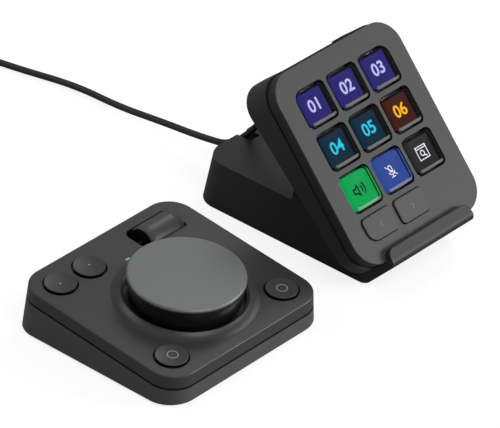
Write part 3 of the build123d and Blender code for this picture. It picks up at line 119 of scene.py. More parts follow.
def spark_texture():
    """The fine relief that spark erosion leaves in a mould, with faint changes of tone and gloss."""
    group = bpy.data.node_groups.new("spark_texture", "ShaderNodeTree")
    for socket_name, socket_type, way in (
        ("Colour", "NodeSocketColor", "INPUT"),
        ("Grain size", "NodeSocketFloat", "INPUT"),
        ("Unevenness", "NodeSocketFloat", "INPUT"),
        ("Gloss", "NodeSocketFloat", "INPUT"),
        ("Colour", "NodeSocketColor", "OUTPUT"),
        ("Roughness", "NodeSocketFloat", "OUTPUT"),
        ("Height", "NodeSocketFloat", "OUTPUT"),
    ):
        group.interface.new_socket(socket_name, in_out=way, socket_type=socket_type)
    given = group.nodes.new("NodeGroupInput")
    result = group.nodes.new("NodeGroupOutput")
    place = group.nodes.new("ShaderNodeTexCoord")
    fine = group.nodes.new("ShaderNodeTexNoise")
    fine.inputs["Detail"].default_value = 4.0
    fine.inputs["Roughness"].default_value = 0.65
    broad = group.nodes.new("ShaderNodeTexNoise")
    broad.inputs["Scale"].default_value = 45.0
    broad.inputs["Detail"].default_value = 3.0
    group.links.new(place.outputs["Object"], fine.inputs["Vector"])
    group.links.new(place.outputs["Object"], broad.inputs["Vector"])
    group.links.new(given.outputs["Grain size"], fine.inputs["Scale"])
    both = calc(group, "ADD", fine.outputs["Fac"], broad.outputs["Fac"])
    change = calc(group, "MULTIPLY", calc(group, "SUBTRACT", both, 1.0), given.outputs["Unevenness"])
    tone = group.nodes.new("ShaderNodeHueSaturation")
    group.links.new(given.outputs["Colour"], tone.inputs["Color"])
    group.links.new(calc(group, "ADD", change, 1.0), tone.inputs["Value"])
    group.links.new(tone.outputs["Color"], result.inputs["Colour"])
    group.links.new(calc(group, "MULTIPLY_ADD", change, 0.5, given.outputs["Gloss"]),
                    result.inputs["Roughness"])
    group.links.new(fine.outputs["Fac"], result.inputs["Height"])
    return group


def moulding(name, colour, roughness, grain=5200.0, depth=0.012, uneven=0.12, metal=0.0, coat=0.0,
             specular=0.5):
    """A material with the spark texture; depth is the grain's height in millimetres."""
    material = bpy.data.materials.new(name)
    material.use_nodes = True
    tree = material.node_tree
    shader = tree.nodes["Principled BSDF"]
    texture = tree.nodes.new("ShaderNodeGroup")
    texture.node_tree = spark
    texture.inputs["Colour"].default_value = (*colour, 1.0)
    texture.inputs["Grain size"].default_value = grain
    texture.inputs["Unevenness"].default_value = uneven
    texture.inputs["Gloss"].default_value = roughness
    tree.links.new(texture.outputs["Colour"], shader.inputs["Base Color"])
    tree.links.new(texture.outputs["Roughness"], shader.inputs["Roughness"])
    relief = tree.nodes.new("ShaderNodeBump")
    relief.inputs["Strength"].default_value = 0.6
    relief.inputs["Distance"].default_value = depth * MM
    tree.links.new(texture.outputs["Height"], relief.inputs["Height"])
    tree.links.new(relief.outputs["Normal"], shader.inputs["Normal"])
    shader.inputs["Metallic"].default_value = metal
    shader.inputs["Coat Weight"].default_value = coat
    shader.inputs["Specular IOR Level"].default_value = specular
    return material


def dress(material, *node_names):
    for node_name in node_names:
        mesh = nodes[node_name].data
        mesh.materials.clear()
        mesh.materials.append(material)


leaving = [(COIL_CENTRE.x + COIL_TURN_R * cos(angle),
            COIL_CENTRE.y + (COIL_TURN_R + LEAVING_OUT) * sin(angle), height)
           for angle, height in LEAVING]
cable_points = CABLE_ROUTE + coil_points() + leaving + TAIL_ROUTE
# The thickness is given point by point, so that the control points' own size doesn't count as the
# cord's.
cable_line = bpy.data.curves.new("keypad_cable", "CURVE")
cable_line.dimensions = "3D"
cable_line.bevel_depth = 1.0
cable_line.bevel_resolution = 5
cable_line.resolution_u = 8
cable_line.use_fill_caps = True
cable_spline = cable_line.splines.new("NURBS")
cable_spline.points.add(len(cable_points) - 1)
for point, place in zip(cable_spline.points, cable_points):
    point.co = (*place, 1.0)
    point.radius = CABLE_D / 2
cable_spline.order_u = 3
cable_spline.use_endpoint_u = True
cable = bpy.data.objects.new("keypad_cable", cable_line)
scene.collection.objects.link(cable)
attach(cable, "desk_set")
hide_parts("cable_tube", "cable_coil", "cable_tail")

spark = spark_texture()
nickel = moulding("nickel_plate", (0.66, 0.64, 0.6), 0.28, metal=1.0, uneven=0.1)
plug_black = moulding("plug_black", (0.02, 0.02, 0.02), 0.6)
strap_black = moulding("strap_black", (0.02, 0.02, 0.02), 0.9, grain=1500.0, depth=0.05)
cable.data.materials.append(moulding("cable_jacket", (0.02, 0.02, 0.021), 0.55))
dress(plug_black, "usb_plug", "usb_plug_boot", "far_plug", "far_plug_boot")
dress(nickel, "usb_plug_shell", "far_plug_shell")
dress(strap_black, "cable_tie")


# ---------------------------------------------------------------- desk and light
# A plain pale desk top under four large soft lamps: one high at the front left, a strong low one at
# the front right for the upright sides, one at the right and one behind. The desk and the surround
# look white, and give the object less light than they show.
DESK_SIZE = 8.0
DESK_TONE = 0.34
DESK_GLOW = 0.8
SURROUND_STRENGTH = 0.27
WHITE = (1.0, 1.0, 1.0, 1.0)

bpy.ops.mesh.primitive_plane_add(size=DESK_SIZE)
desk = bpy.context.object
desk.name = "desk_top"
desk_material = bpy.data.materials.new("desk_white")
desk_material.use_nodes = True
desk_tree = desk_material.node_tree
desk_shader = desk_tree.nodes["Principled BSDF"]
desk_shader.inputs["Base Color"].default_value = (DESK_TONE, DESK_TONE, DESK_TONE, 1.0)
desk_shader.inputs["Roughness"].default_value = 1.0
desk_shader.inputs["Specular IOR Level"].default_value = 0.0
desk_shader.inputs["Emission Color"].default_value = WHITE
desk_path = desk_tree.nodes.new("ShaderNodeLightPath")
desk_seen = calc(desk_tree, "MAXIMUM", desk_path.outputs["Is Camera Ray"],
                 desk_path.outputs["Is Transmission Ray"])
desk_tree.links.new(calc(desk_tree, "MULTIPLY", desk_seen, DESK_GLOW),
                    desk_shader.inputs["Emission Strength"])
desk.data.materials.append(desk_material)

world = bpy.data.worlds.new("soft_surround")
scene.world = world
world.use_nodes = True
world_nodes = world.node_tree.nodes
world_links = world.node_tree.links
surround = world_nodes["Background"]
surround.inputs["Color"].default_value = WHITE
surround.inputs["Strength"].default_value = SURROUND_STRENGTH
white_view = world_nodes.new("ShaderNodeBackground")
white_view.inputs["Color"].default_value = WHITE
world_path = world_nodes.new("ShaderNodeLightPath")
world_mix = world_nodes.new("ShaderNodeMixShader")
world_links.new(world_path.outputs["Is Camera Ray"], world_mix.inputs[0])
world_links.new(surround.outputs[0], world_mix.inputs[1])
world_links.new(white_view.outputs[0], world_mix.inputs[2])
world_links.new(world_mix.outputs[0], world_nodes["World Output"].inputs["Surface"])

for lamp_name, place, aim, size, power in (
    ("front_lamp", (-0.25, -1.0, 1.3), (0.0, 0.0, 0.03), (0.8, 0.7), 7.0),
    ("low_lamp", (0.97, -1.2, 0.30), (0.05, -0.03, 0.06), (0.9, 0.5), 16.5),
    ("side_lamp", (1.1, 0.3, 1.0), (0.0, 0.0, 0.03), (0.6, 0.6), 4.8),
    ("back_lamp", (-0.6, 1.1, 1.2), (0.0, 0.0, 0.03), (0.8, 0.8), 4.0),
):
    lamp_data = bpy.data.lights.new(lamp_name, "AREA")
    lamp_data.shape = "RECTANGLE"
    lamp_data.size, lamp_data.size_y = size
    lamp_data.energy = power
    lamp = bpy.data.objects.new(lamp_name, lamp_data)
    scene.collection.objects.link(lamp)
    towards = Vector(aim) - Vector(place)
    lamp_turn = towards.to_track_quat("-Z", "Y").to_matrix().to_4x4()
    lamp.matrix_world = Matrix.Translation(place) @ lamp_turn


# ---------------------------------------------------------------- dial pad housing
# Two shells moulded in graphite plastic, screwed together from below, on rubber feet. The cover's
# inner faces and the step at the seam are painted black, as painted shade in openings and seam.
PLATE_PLACE = Vector((-46.925, -1.24, 19.0)) * MM
PLATE_TILT = radians(5.95)
COVER_INNER_X, COVER_INNER_Y = (-42.0, 42.0), (-43.0, 38.5)
COVER_SKIN = -0.25              # what lies lower than this, and inside, is the cover's inner face
BASE_SEAM = (-6.50, -5.60)
# Black painted where shade falls: openings, seams, key holes and the roller's left end.
PAINTED_SHADE_BLACK = (0.004, 0.004, 0.004)


def placed(tree, place, tilt):
    """Coordinates in millimetres in the frame of a tilted face, as three sockets."""
    coordinate = tree.nodes.new("ShaderNodeTexCoord")
    mapping = tree.nodes.new("ShaderNodeMapping")
    mapping.vector_type = "TEXTURE"
    mapping.inputs["Location"].default_value = place
    mapping.inputs["Rotation"].default_value = (tilt, 0.0, 0.0)
    mapping.inputs["Scale"].default_value = (MM, MM, MM)
    split = tree.nodes.new("ShaderNodeSeparateXYZ")
    tree.links.new(coordinate.outputs["Object"], mapping.inputs["Vector"])
    tree.links.new(mapping.outputs["Vector"], split.inputs["Vector"])
    return split.outputs["X"], split.outputs["Y"], split.outputs["Z"]


def within(tree, value, low, high):
    return calc(tree, "MULTIPLY", calc(tree, "GREATER_THAN", value, low),
                calc(tree, "LESS_THAN", value, high))


def paint(tree, mask, colour):
    """Mixes a second colour over the material's own where the mask is 1."""
    shader = tree.nodes["Principled BSDF"]
    old = shader.inputs["Base Color"].links[0].from_socket
    mix = tree.nodes.new("ShaderNodeMix")
    mix.data_type = "RGBA"
    tree.links.new(mask, mix.inputs["Factor"])
    tree.links.new(old, mix.inputs["A"])
    mix.inputs["B"].default_value = (*colour, 1.0)
    tree.links.new(mix.outputs["Result"], shader.inputs["Base Color"])


graphite = moulding("graphite_moulding", (0.04, 0.0405, 0.0415), 0.38)
cover_tree = graphite.node_tree
cover_x, cover_y, cover_z = placed(cover_tree, PLATE_PLACE, PLATE_TILT)
inner = calc(cover_tree, "MULTIPLY", within(cover_tree, cover_x, *COVER_INNER_X),
             within(cover_tree, cover_y, *COVER_INNER_Y))
inner = calc(cover_tree, "MULTIPLY", inner, calc(cover_tree, "LESS_THAN", cover_z, COVER_SKIN))
# Painted shade: the cover's inner faces, in the openings round the dial, buttons and roller, are
# black.
paint(cover_tree, inner, PAINTED_SHADE_BLACK)
graphite_base = moulding("graphite_base_moulding", (0.077, 0.0775, 0.0785), 0.5)
base_tree = graphite_base.node_tree
base_z = placed(base_tree, PLATE_PLACE, PLATE_TILT)[2]
# Painted shade: the step in the seam between cover and base is black.
paint(base_tree, within(base_tree, base_z, *BASE_SEAM), PAINTED_SHADE_BLACK)
foot_rubber = moulding("foot_rubber", (0.02, 0.02, 0.02), 0.8, grain=2600.0, depth=0.03)
steel = moulding("plain_steel", (0.45, 0.45, 0.46), 0.35, metal=1.0, uneven=0.1)
dress(graphite, "dialpad_top_cover")
dress(graphite_base, "dialpad_base")
dress(foot_rubber, "dialpad_feet")
dress(steel, "dialpad_screws")


# ---------------------------------------------------------------- dial
# A satin anodised disc with a turned bevel, set on a piano-black skirt. It turns on a steel shaft in
# a brass bush, held by a clip, and drives an encoder under the board.
dial_satin = moulding("dial_satin", (0.18, 0.188, 0.184), 0.4, grain=7000.0, depth=0.006, uneven=0.05,
                      metal=0.35)
piano_black = moulding("dial_piano_black", (0.006, 0.006, 0.0065), 0.22, grain=3000.0, depth=0.001,
                       uneven=0.04, coat=0.3)
brass = moulding("turned_brass", (0.62, 0.43, 0.18), 0.35, metal=1.0, uneven=0.1)
inner_black = moulding("inner_moulding", (0.012, 0.012, 0.012), 0.6)
dress(dial_satin, "dial_disc")
dress(piano_black, "dial_skirt")
dress(steel, "dial_shaft", "dial_clip")
dress(brass, "dial_bush")
dress(inner_black, "dial_encoder")


# ---------------------------------------------------------------- buttons
# Four dished mushroom caps in satin plastic, over snap domes, each held by a flange under the cover.
# The back two have a light grey dot and the front two a printed ring. The stems are painted black
# as the shade under the caps.
BUTTON_STEM_TOP = 0.42
DOT_PLACES = ((-33.0, 29.4), (-15.2, 30.3))
DOT_R = 0.42
RING_PLACES = ((-32.0, -33.4), (33.3, -33.3))
RING_RADII = (2.0, 2.42)

button_satin = moulding("button_satin", (0.042, 0.0425, 0.0435), 0.45, uneven=0.06)
button_tree = button_satin.node_tree
button_x, button_y, button_z = placed(button_tree, PLATE_PLACE, PLATE_TILT)


def from_mark(middle):
    """The distance from a printed mark's middle."""
    across = calc(button_tree, "SUBTRACT", button_x, middle[0])
    along = calc(button_tree, "SUBTRACT", button_y, middle[1])
    squares = calc(button_tree, "ADD", calc(button_tree, "MULTIPLY", across, across),
                   calc(button_tree, "MULTIPLY", along, along))
    return calc(button_tree, "SQRT", squares)


# Painted shade: the stem below the cap's rim is black, as the shade under the cap.
paint(button_tree, calc(button_tree, "LESS_THAN", button_z, BUTTON_STEM_TOP), (0.003, 0.003, 0.003))
for dot in DOT_PLACES:
    paint(button_tree, calc(button_tree, "LESS_THAN", from_mark(dot), DOT_R), (0.4, 0.41, 0.42))
for ring in RING_PLACES:
    paint(button_tree, within(button_tree, from_mark(ring), *RING_RADII), (0.3, 0.305, 0.31))
dress(button_satin, "button_back_left", "button_back_inner", "button_front_left", "button_front_right")


# ---------------------------------------------------------------- roller
# A satin drum with fine turned grooves near both ends, on a blackened steel axle that lies in a
# black tub under the cover. The drum's left end face is painted black as shade.
GROOVE_BANDS = ((16.2, 17.9), (32.0, 34.4))
GROOVE_PITCH, GROOVE_DEPTH = 0.7, 0.1
DRUM_END = 15.48

roller_satin = moulding("roller_satin", (0.066, 0.0665, 0.0675), 0.4, uneven=0.06)
roller_tree = roller_satin.node_tree
roller_x = placed(roller_tree, PLATE_PLACE, PLATE_TILT)[0]
bands = calc(roller_tree, "ADD", *[within(roller_tree, roller_x, *band) for band in GROOVE_BANDS])
waves = calc(roller_tree, "SINE", calc(roller_tree, "MULTIPLY", roller_x, 2 * pi / GROOVE_PITCH))
grooves = roller_tree.nodes.new("ShaderNodeBump")
grooves.inputs["Strength"].default_value = 1.0
grooves.inputs["Distance"].default_value = GROOVE_DEPTH * MM
roller_tree.links.new(calc(roller_tree, "MULTIPLY", waves, bands), grooves.inputs["Height"])
roller_shader = roller_tree.nodes["Principled BSDF"]
roller_tree.links.new(roller_shader.inputs["Normal"].links[0].from_socket, grooves.inputs["Normal"])
roller_tree.links.new(grooves.outputs["Normal"], roller_shader.inputs["Normal"])
# Painted shade: the drum's left end face is black.
paint(roller_tree, calc(roller_tree, "LESS_THAN", roller_x, DRUM_END), PAINTED_SHADE_BLACK)
black_steel = moulding("blackened_steel", (0.03, 0.03, 0.032), 0.4, metal=0.8)
dress(roller_satin, "roller_drum")
dress(black_steel, "roller_axle")
dress(inner_black, "roller_tub")


# ---------------------------------------------------------------- status light
# A small light pipe in clear green plastic. It stands on the board, which lights it, and ends flush
# with the cover.
light_green = moulding("status_light", (0.05, 0.3, 0.1), 0.3)
light_shader = light_green.node_tree.nodes["Principled BSDF"]
light_shader.inputs["Emission Color"].default_value = (0.16, 0.75, 0.25, 1.0)
light_shader.inputs["Emission Strength"].default_value = 0.42
dress(light_green, "status_light")


# ---------------------------------------------------------------- dial pad board and switches
# A green circuit board with nickel-plated snap domes under the buttons. The power slider and the
# pairing button are black mouldings that reach through the base, each under a switch case.
board_green = moulding("board_mask", (0.01, 0.07, 0.03), 0.35, grain=900.0)
slider_black = moulding("slider_black", (0.015, 0.015, 0.015), 0.5)
dress(board_green, "dialpad_board")
dress(nickel, "button_domes")
dress(inner_black, "power_switch_case", "pairing_switch_case")
dress(slider_black, "power_slider", "pairing_button")


# ---------------------------------------------------------------- battery bay
# Two cells lie side by side between nickel-plated springs and plates. They wear a printed jacket
# with bare steel ends. A door in the base's plastic closes the bay, hinged on two steel pins.
JACKET_BAND = (-54.5, -43.6)
CELL_BARE_ENDS = (-85.2, -42.7)

cell_jacket = moulding("cell_jacket", (0.03, 0.032, 0.036), 0.3, metal=0.3)
cell_tree = cell_jacket.node_tree
cell_x = placed(cell_tree, (0.0, 0.0, 0.0), 0.0)[0]
paint(cell_tree, within(cell_tree, cell_x, *JACKET_BAND), (0.55, 0.3, 0.08))
paint(cell_tree, calc(cell_tree, "GREATER_THAN", cell_x, CELL_BARE_ENDS[1]), (0.6, 0.6, 0.6))
paint(cell_tree, calc(cell_tree, "LESS_THAN", cell_x, CELL_BARE_ENDS[0]), (0.6, 0.6, 0.6))
dress(cell_jacket, "battery_cells")
dress(nickel, "battery_contacts")
dress(graphite_base, "battery_door")
dress(steel, "battery_door_pins")


# ---------------------------------------------------------------- keypad housing
# A tapered face plate, screwed to a darker rear shell from behind. Between them lie the rubber mat,
# the display panel and the board. The key holes' walls and the seam are painted black as shade, and
# the plate's own edge is painted darker as shade.
FACE_PLACE = Vector((54.825, -54.49, 16.8)) * MM
FACE_TILT = radians(50.4)
KEY_FIELD_X, KEY_FIELD_Y = (-29.2, 29.2), (9.0, 80.6)
KEY_FIELD_SKIN = -0.12          # what lies lower than this in the key field is a key hole's wall
FACE_EDGE_SHADE_DEPTH = -1.0                # below this, the plate's edge is painted as dark as the shell, as shade
SHELL_SEAM = (-6.22, -5.5)

keypad_face = moulding("keypad_face", (0.043, 0.0435, 0.0443), 0.55)
face_tree = keypad_face.node_tree
face_x, face_y, face_z = placed(face_tree, FACE_PLACE, FACE_TILT)
key_field = calc(face_tree, "MULTIPLY", within(face_tree, face_x, *KEY_FIELD_X),
                 within(face_tree, face_y, *KEY_FIELD_Y))
hole_wall_shade = calc(face_tree, "MULTIPLY", key_field, calc(face_tree, "LESS_THAN", face_z, KEY_FIELD_SKIN))
# Painted shade: the key holes' walls are black.
paint(face_tree, hole_wall_shade, PAINTED_SHADE_BLACK)
# Painted shade: the face plate's edge is painted as dark as the shell.
paint(face_tree, calc(face_tree, "LESS_THAN", face_z, FACE_EDGE_SHADE_DEPTH), (0.019, 0.0192, 0.0198))
keypad_shell = moulding("keypad_shell", (0.024, 0.0244, 0.025), 0.5)
shell_tree = keypad_shell.node_tree
shell_z = placed(shell_tree, FACE_PLACE, FACE_TILT)[2]
# Painted shade: the seam between face plate and rear shell is black.
paint(shell_tree, within(shell_tree, shell_z, *SHELL_SEAM), PAINTED_SHADE_BLACK)
screen_black = moulding("screen_black", (0.006, 0.006, 0.007), 0.35)
dress(keypad_face, "keypad_face_plate")
dress(keypad_shell, "keypad_rear_shell")
dress(steel, "keypad_screws")
dress(screen_black, "key_mat", "display_panel")
dress(board_green, "keypad_board")
dress(nickel, "page_domes", "keypad_socket")


# ---------------------------------------------------------------- page keys
# Two keys in the face's plastic, held by a flange under the face and pressed on snap domes. Each has
# a small printed arrow head, one that points left and one that points right.
ARROW_Y = 15.0
ARROW_TIPS = ((-19.9, 1.0), (0.9, -1.0))
ARROW_HALF_HEIGHT, ARROW_HALF_STROKE = 1.2, 0.3

page_grey = moulding("page_key_grey", (0.046, 0.0465, 0.0473), 0.53)
page_tree = page_grey.node_tree
page_x, page_y, _ = placed(page_tree, FACE_PLACE, FACE_TILT)
rise = calc(page_tree, "ABSOLUTE", calc(page_tree, "SUBTRACT", page_y, ARROW_Y))
for tip, way in ARROW_TIPS:
    off = calc(page_tree, "MULTIPLY", calc(page_tree, "SUBTRACT", page_x, tip), way)
    beside = calc(page_tree, "ABSOLUTE", calc(page_tree, "SUBTRACT", off, rise))
    arrow = calc(page_tree, "MULTIPLY", calc(page_tree, "LESS_THAN", beside, ARROW_HALF_STROKE),
                 calc(page_tree, "LESS_THAN", rise, ARROW_HALF_HEIGHT))
    paint(page_tree, arrow, (0.13, 0.13, 0.133))
dress(page_grey, "page_key_left", "page_key_right")


# ---------------------------------------------------------------- stand
# A wedge-shaped stand in black plastic, with a shelf and a lip for the keypad and a notch for its
# cable. A plate on rubber feet closes it from below.
stand_black = moulding("stand_moulding", (0.0135, 0.0137, 0.0142), 0.55)
dress(stand_black, "stand_shell", "stand_base_plate")
dress(foot_rubber, "stand_feet")


# ---------------------------------------------------------------- display key caps
# Nine clear acrylic caps, proud of the face, with a bevelled rim and a dished top. The rim's lower
# side is satin, so that it shows as a pale strip. Each cap stands on a flange that the face plate
# holds down, and the two at the top corners of the field have one rounder corner.
KEY_COLUMNS = (-19.8, 0.0, 19.8)
KEY_ROWS = (71.5, 51.7, 31.9)
FLANGE_W, FLANGE_H, FLANGE_CORNER = 18.6, 18.1, 2.4
FLANGE_LOW, FLANGE_TOP = -3.95, -3.15
CAP_W, CAP_H = 15.8, 15.2
CAP_FOOT, CAP_SHOULDER, CAP_TOP = FLANGE_TOP - 0.4, 0.6, 0.9
CAP_CORNER, CAP_OUTER_CORNER = 2.3, 4.2
CORNER_SEGMENTS, OUTER_CORNER_SEGMENTS = 9, 12
CAP_BEVEL = 1.25
CAP_DISH = 0.22
DISH_RINGS = ((0.85, 0.28), (0.8, 0.26), (0.75, 0.2), (0.7, 0.13), (0.6, 0.08), (0.4, 0.04))
CAP_SMOOTH_ANGLE = 11.5
RIM_UPWARD, RIM_DOWNHILL = 0.5, -0.15       # a satin face looks up by this much, and downhill
EVEN = 0.01
FACE_TURN = Matrix.Translation(FACE_PLACE) @ Matrix.Rotation(FACE_TILT, 4, "X")


def clear_acrylic(name, glossiest, dullest):
    """Clear acrylic, faintly smeared; the two values are its least and its most roughness."""
    material = bpy.data.materials.new(name)
    material.use_nodes = True
    tree = material.node_tree
    shader = tree.nodes["Principled BSDF"]
    shader.inputs["Base Color"].default_value = WHITE
    shader.inputs["Transmission Weight"].default_value = 1.0
    shader.inputs["IOR"].default_value = 1.33
    shader.inputs["Specular IOR Level"].default_value = 0.4
    coordinate = tree.nodes.new("ShaderNodeTexCoord")
    smears = tree.nodes.new("ShaderNodeTexNoise")
    smears.inputs["Scale"].default_value = 160.0
    spread = tree.nodes.new("ShaderNodeMapRange")
    spread.inputs["To Min"].default_value = glossiest
    spread.inputs["To Max"].default_value = dullest
    tree.links.new(coordinate.outputs["Object"], smears.inputs["Vector"])
    tree.links.new(smears.outputs["Fac"], spread.inputs["Value"])
    tree.links.new(spread.outputs["Result"], shader.inputs["Roughness"])
    return material


def move_mesh(made, matrix):
    made.data.transform(matrix)
    made.data.update()
    made.update_tag()


def block(name, width, depth, low, high):
    """A box in millimetres, centred on the origin, in edit mode and with nothing selected."""
    bpy.ops.object.select_all(action="DESELECT")
    bpy.ops.mesh.primitive_cube_add(size=MM, location=(0.0, 0.0, (low + high) / 2 * MM),
                                    scale=(width, depth, high - low))
    bpy.ops.object.transform_apply(location=True, rotation=True, scale=True)
    made = bpy.context.object
    made.name = name
    made.data.name = name
    bpy.ops.object.mode_set(mode="EDIT")
    bpy.ops.mesh.select_all(action="DESELECT")
    return made


def upright(edge):
    """True for an edge that stands straight up."""
    one, other = (vert.co / MM for vert in edge.verts)
    return abs(one.z - other.z) > EVEN and abs(one.x - other.x) + abs(one.y - other.y) < EVEN


def round_corners(made, radius, segments, chosen=upright):
    """Rounds the upright edges that are chosen."""
    bpy.ops.mesh.select_all(action="DESELECT")
    bpy.ops.mesh.select_mode(type="EDGE")
    shape = bmesh.from_edit_mesh(made.data)
    for edge in shape.edges:
        edge.select_set(chosen(edge))
    bmesh.update_edit_mesh(made.data)
    bpy.ops.mesh.bevel(offset=radius * MM, segments=segments, affect="EDGES")


def select_top(made):
    bpy.ops.mesh.select_all(action="DESELECT")
    bpy.ops.mesh.select_mode(type="FACE")
    shape = bmesh.from_edit_mesh(made.data)
    top = max(shape.faces, key=lambda face: (face.calc_center_median().z, face.calc_area()))
    top.select_set(True)
    bmesh.update_edit_mesh(made.data)


def make_active(made):
    bpy.ops.object.select_all(action="DESELECT")
    made.select_set(True)
    bpy.context.view_layer.objects.active = made


def finish_shape(made, angle):
    """Leaves edit mode, with the faces turned outwards and smooth up to an angle in degrees."""
    bpy.ops.mesh.select_all(action="SELECT")
    bpy.ops.mesh.normals_make_consistent(inside=False)
    bpy.ops.object.mode_set(mode="OBJECT")
    make_active(made)
    bpy.ops.object.shade_smooth_by_angle(angle=radians(angle))


def key_cap(name, outer=0):
    """A cap at the origin; outer is -1 or 1 where the top left or top right corner is rounder."""
    cap = block(name, FLANGE_W, FLANGE_H, FLANGE_LOW, FLANGE_TOP)
    round_corners(cap, FLANGE_CORNER, CORNER_SEGMENTS)
    select_top(cap)
    bpy.ops.mesh.inset(thickness=(FLANGE_H - CAP_H) / 2 * MM, depth=0.0)
    bpy.ops.object.mode_set(mode="OBJECT")

    def at_outer(edge):
        return edge.verts[0].co.x * outer > 0 and edge.verts[0].co.y > 0

    body = block(name + "_body", CAP_W, CAP_H, CAP_FOOT, CAP_SHOULDER)
    if outer:
        round_corners(body, CAP_OUTER_CORNER, OUTER_CORNER_SEGMENTS,
                      lambda edge: upright(edge) and at_outer(edge))
    round_corners(body, CAP_CORNER, CORNER_SEGMENTS, lambda edge: upright(edge) and not at_outer(edge))
    select_top(body)
    bpy.ops.mesh.inset(thickness=CAP_BEVEL * MM, depth=(CAP_TOP - CAP_SHOULDER) * MM)
    for share, drop in DISH_RINGS:
        bpy.ops.mesh.extrude_region_move(
            TRANSFORM_OT_translate={"value": (0.0, 0.0, -drop * CAP_DISH * MM)})
        bpy.ops.transform.resize(value=(share, share, 1.0), center_override=(0.0, 0.0, 0.0))
    finish_shape(body, CAP_SMOOTH_ANGLE)
    joined = cap.modifiers.new("join", "BOOLEAN")
    joined.operation = "UNION"
    joined.solver = "EXACT"
    joined.object = body
    make_active(cap)
    bpy.ops.object.modifier_apply(modifier="join")
    bpy.data.objects.remove(body)
    bpy.ops.object.shade_smooth_by_angle(angle=radians(CAP_SMOOTH_ANGLE))
    cap.data.materials.append(key_clear)
    cap.data.materials.append(key_edge)
    for face in cap.data.polygons:
        on_rim = face.center.z / MM > CAP_SHOULDER - EVEN and face.normal.z > RIM_UPWARD
        face.material_index = 1 if on_rim and face.normal.y < RIM_DOWNHILL else 0
    return cap


def copy_of(piece, name):
    twin = piece.copy()
    twin.data = piece.data.copy()
    twin.name = name
    twin.data.name = name
    scene.collection.objects.link(twin)
    return twin


def seat(made, number):
    """Moves a mesh from the origin to its key's place in the face."""
    row, column = divmod(number - 1, 3)
    middle = Vector((KEY_COLUMNS[column], KEY_ROWS[row], 0.0)) * MM
    move_mesh(made, FACE_TURN @ Matrix.Translation(middle))


key_clear = clear_acrylic("key_cap_clear", 0.09, 0.13)
key_edge = clear_acrylic("key_cap_ground_edge", 0.32, 0.38)
caps = {2: key_cap("key_cap_2"), 1: key_cap("key_cap_1", -1), 3: key_cap("key_cap_3", 1)}
for number in range(4, 10):
    caps[number] = copy_of(caps[2], f"key_cap_{number}")
for number, cap in caps.items():
    seat(cap, number)
    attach(cap, f"display_key_{number}")
    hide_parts(f"display_key_{number}")


# ---------------------------------------------------------------- pictures under the caps
# The part of the display panel under each cap shows a small lit picture: a ground colour in a black
# border, and a plain mark. Two pictures fill their keys. The first six keys are numbered, and the
# last three have a speaker, a crossed-out microphone and a page.
PICTURE_Z = -1.8
SHEET_W, SHEET_H, SHEET_CORNER = 15.2, 14.6, 2.2
SHEET_SEGMENTS, SHEET_SMOOTH_ANGLE = 5, 30
SHEET_LOW, SHEET_TOP = PICTURE_Z - 0.12, PICTURE_Z - 0.06
GROUND_W, GROUND_CORNER = 12.8, 0.7
GROUND_TOP = PICTURE_Z - 0.03
MARK_HALF = 0.015
FIGURE_SIZE, FIGURE_SWELL = 7.6, 0.16
SCREEN_ROW, SCREEN_ROW_DEPTH = 0.25, 0.03
FILLED = (7, 8)
THIN = 0.42


def lit(name, colour):
    """A lit field with the faint weave of a screen's rows."""
    material = moulding(name, (0.004, 0.004, 0.004), 0.6, uneven=0.02, specular=0.0)
    tree = material.node_tree
    shader = tree.nodes["Principled BSDF"]
    along = placed(tree, FACE_PLACE, FACE_TILT)[1]
    rows = calc(tree, "SINE", calc(tree, "MULTIPLY", along, 2 * pi / SCREEN_ROW))
    tint = tree.nodes.new("ShaderNodeHueSaturation")
    tint.inputs["Color"].default_value = (*colour, 1.0)
    tree.links.new(calc(tree, "MULTIPLY_ADD", rows, SCREEN_ROW_DEPTH, 1.0 - SCREEN_ROW_DEPTH),
                   tint.inputs["Value"])
    tree.links.new(tint.outputs["Color"], shader.inputs["Emission Color"])
    shader.inputs["Emission Strength"].default_value = 1.0
    return material


def sheet(name, width, depth, low, high, corner, material):
    made = block(name, width, depth, low, high)
    round_corners(made, corner, SHEET_SEGMENTS)
    finish_shape(made, SHEET_SMOOTH_ANGLE)
    made.data.materials.append(material)
    return made


def as_mark(name, drawn, material):
    """Turns a text or a flat curve into a thin plate at the pictures' height."""
    drawn.extrude = MARK_HALF * MM
    made = bpy.data.objects.new(name, drawn)
    scene.collection.objects.link(made)
    make_active(made)
    bpy.ops.object.convert(target="MESH")
    made = bpy.context.object
    made.data.materials.append(material)
    move_mesh(made, Matrix.Translation((0.0, 0.0, PICTURE_Z * MM)))
    return made


def number_mark(number, material):
    text = bpy.data.curves.new(f"number_{number}", "FONT")
    text.body = f"{number:02d}"
    text.size = FIGURE_SIZE * MM
    text.align_x = "CENTER"
    text.align_y = "CENTER"
    text.offset = FIGURE_SWELL * MM
    return as_mark(f"number_{number}", text, material)


def flat_mark(name, outlines, material):
    """A mark from closed outlines in millimetres; an outline inside another is a hole."""
    flat = bpy.data.curves.new(name, "CURVE")
    flat.dimensions = "2D"
    flat.fill_mode = "BOTH"
    for outline in outlines:
        spline = flat.splines.new("POLY")
        spline.points.add(len(outline) - 1)
        for point, (x, y) in zip(spline.points, outline):
            point.co = (x * MM, y * MM, 0.0, 1.0)
        spline.use_cyclic_u = True
    return as_mark(name, flat, material)


def arc(radius, start, end, middle=(0.0, 0.0), steps=14):
    angles = [radians(start + (end - start) * step / steps) for step in range(steps + 1)]
    return [(middle[0] + radius * cos(angle), middle[1] + radius * sin(angle)) for angle in angles]


def band(radius, width, start, end, middle=(0.0, 0.0)):
    return arc(radius + width / 2, start, end, middle) + arc(radius - width / 2, end, start, middle)


def bar(one, other, width):
    one, other = Vector(one), Vector(other)
    along = (other - one).normalized() * width / 2
    side = Vector((-along.y, along.x))
    return [tuple(corner) for corner in (one - along + side, one - along - side,
                                         other + along - side, other + along + side)]


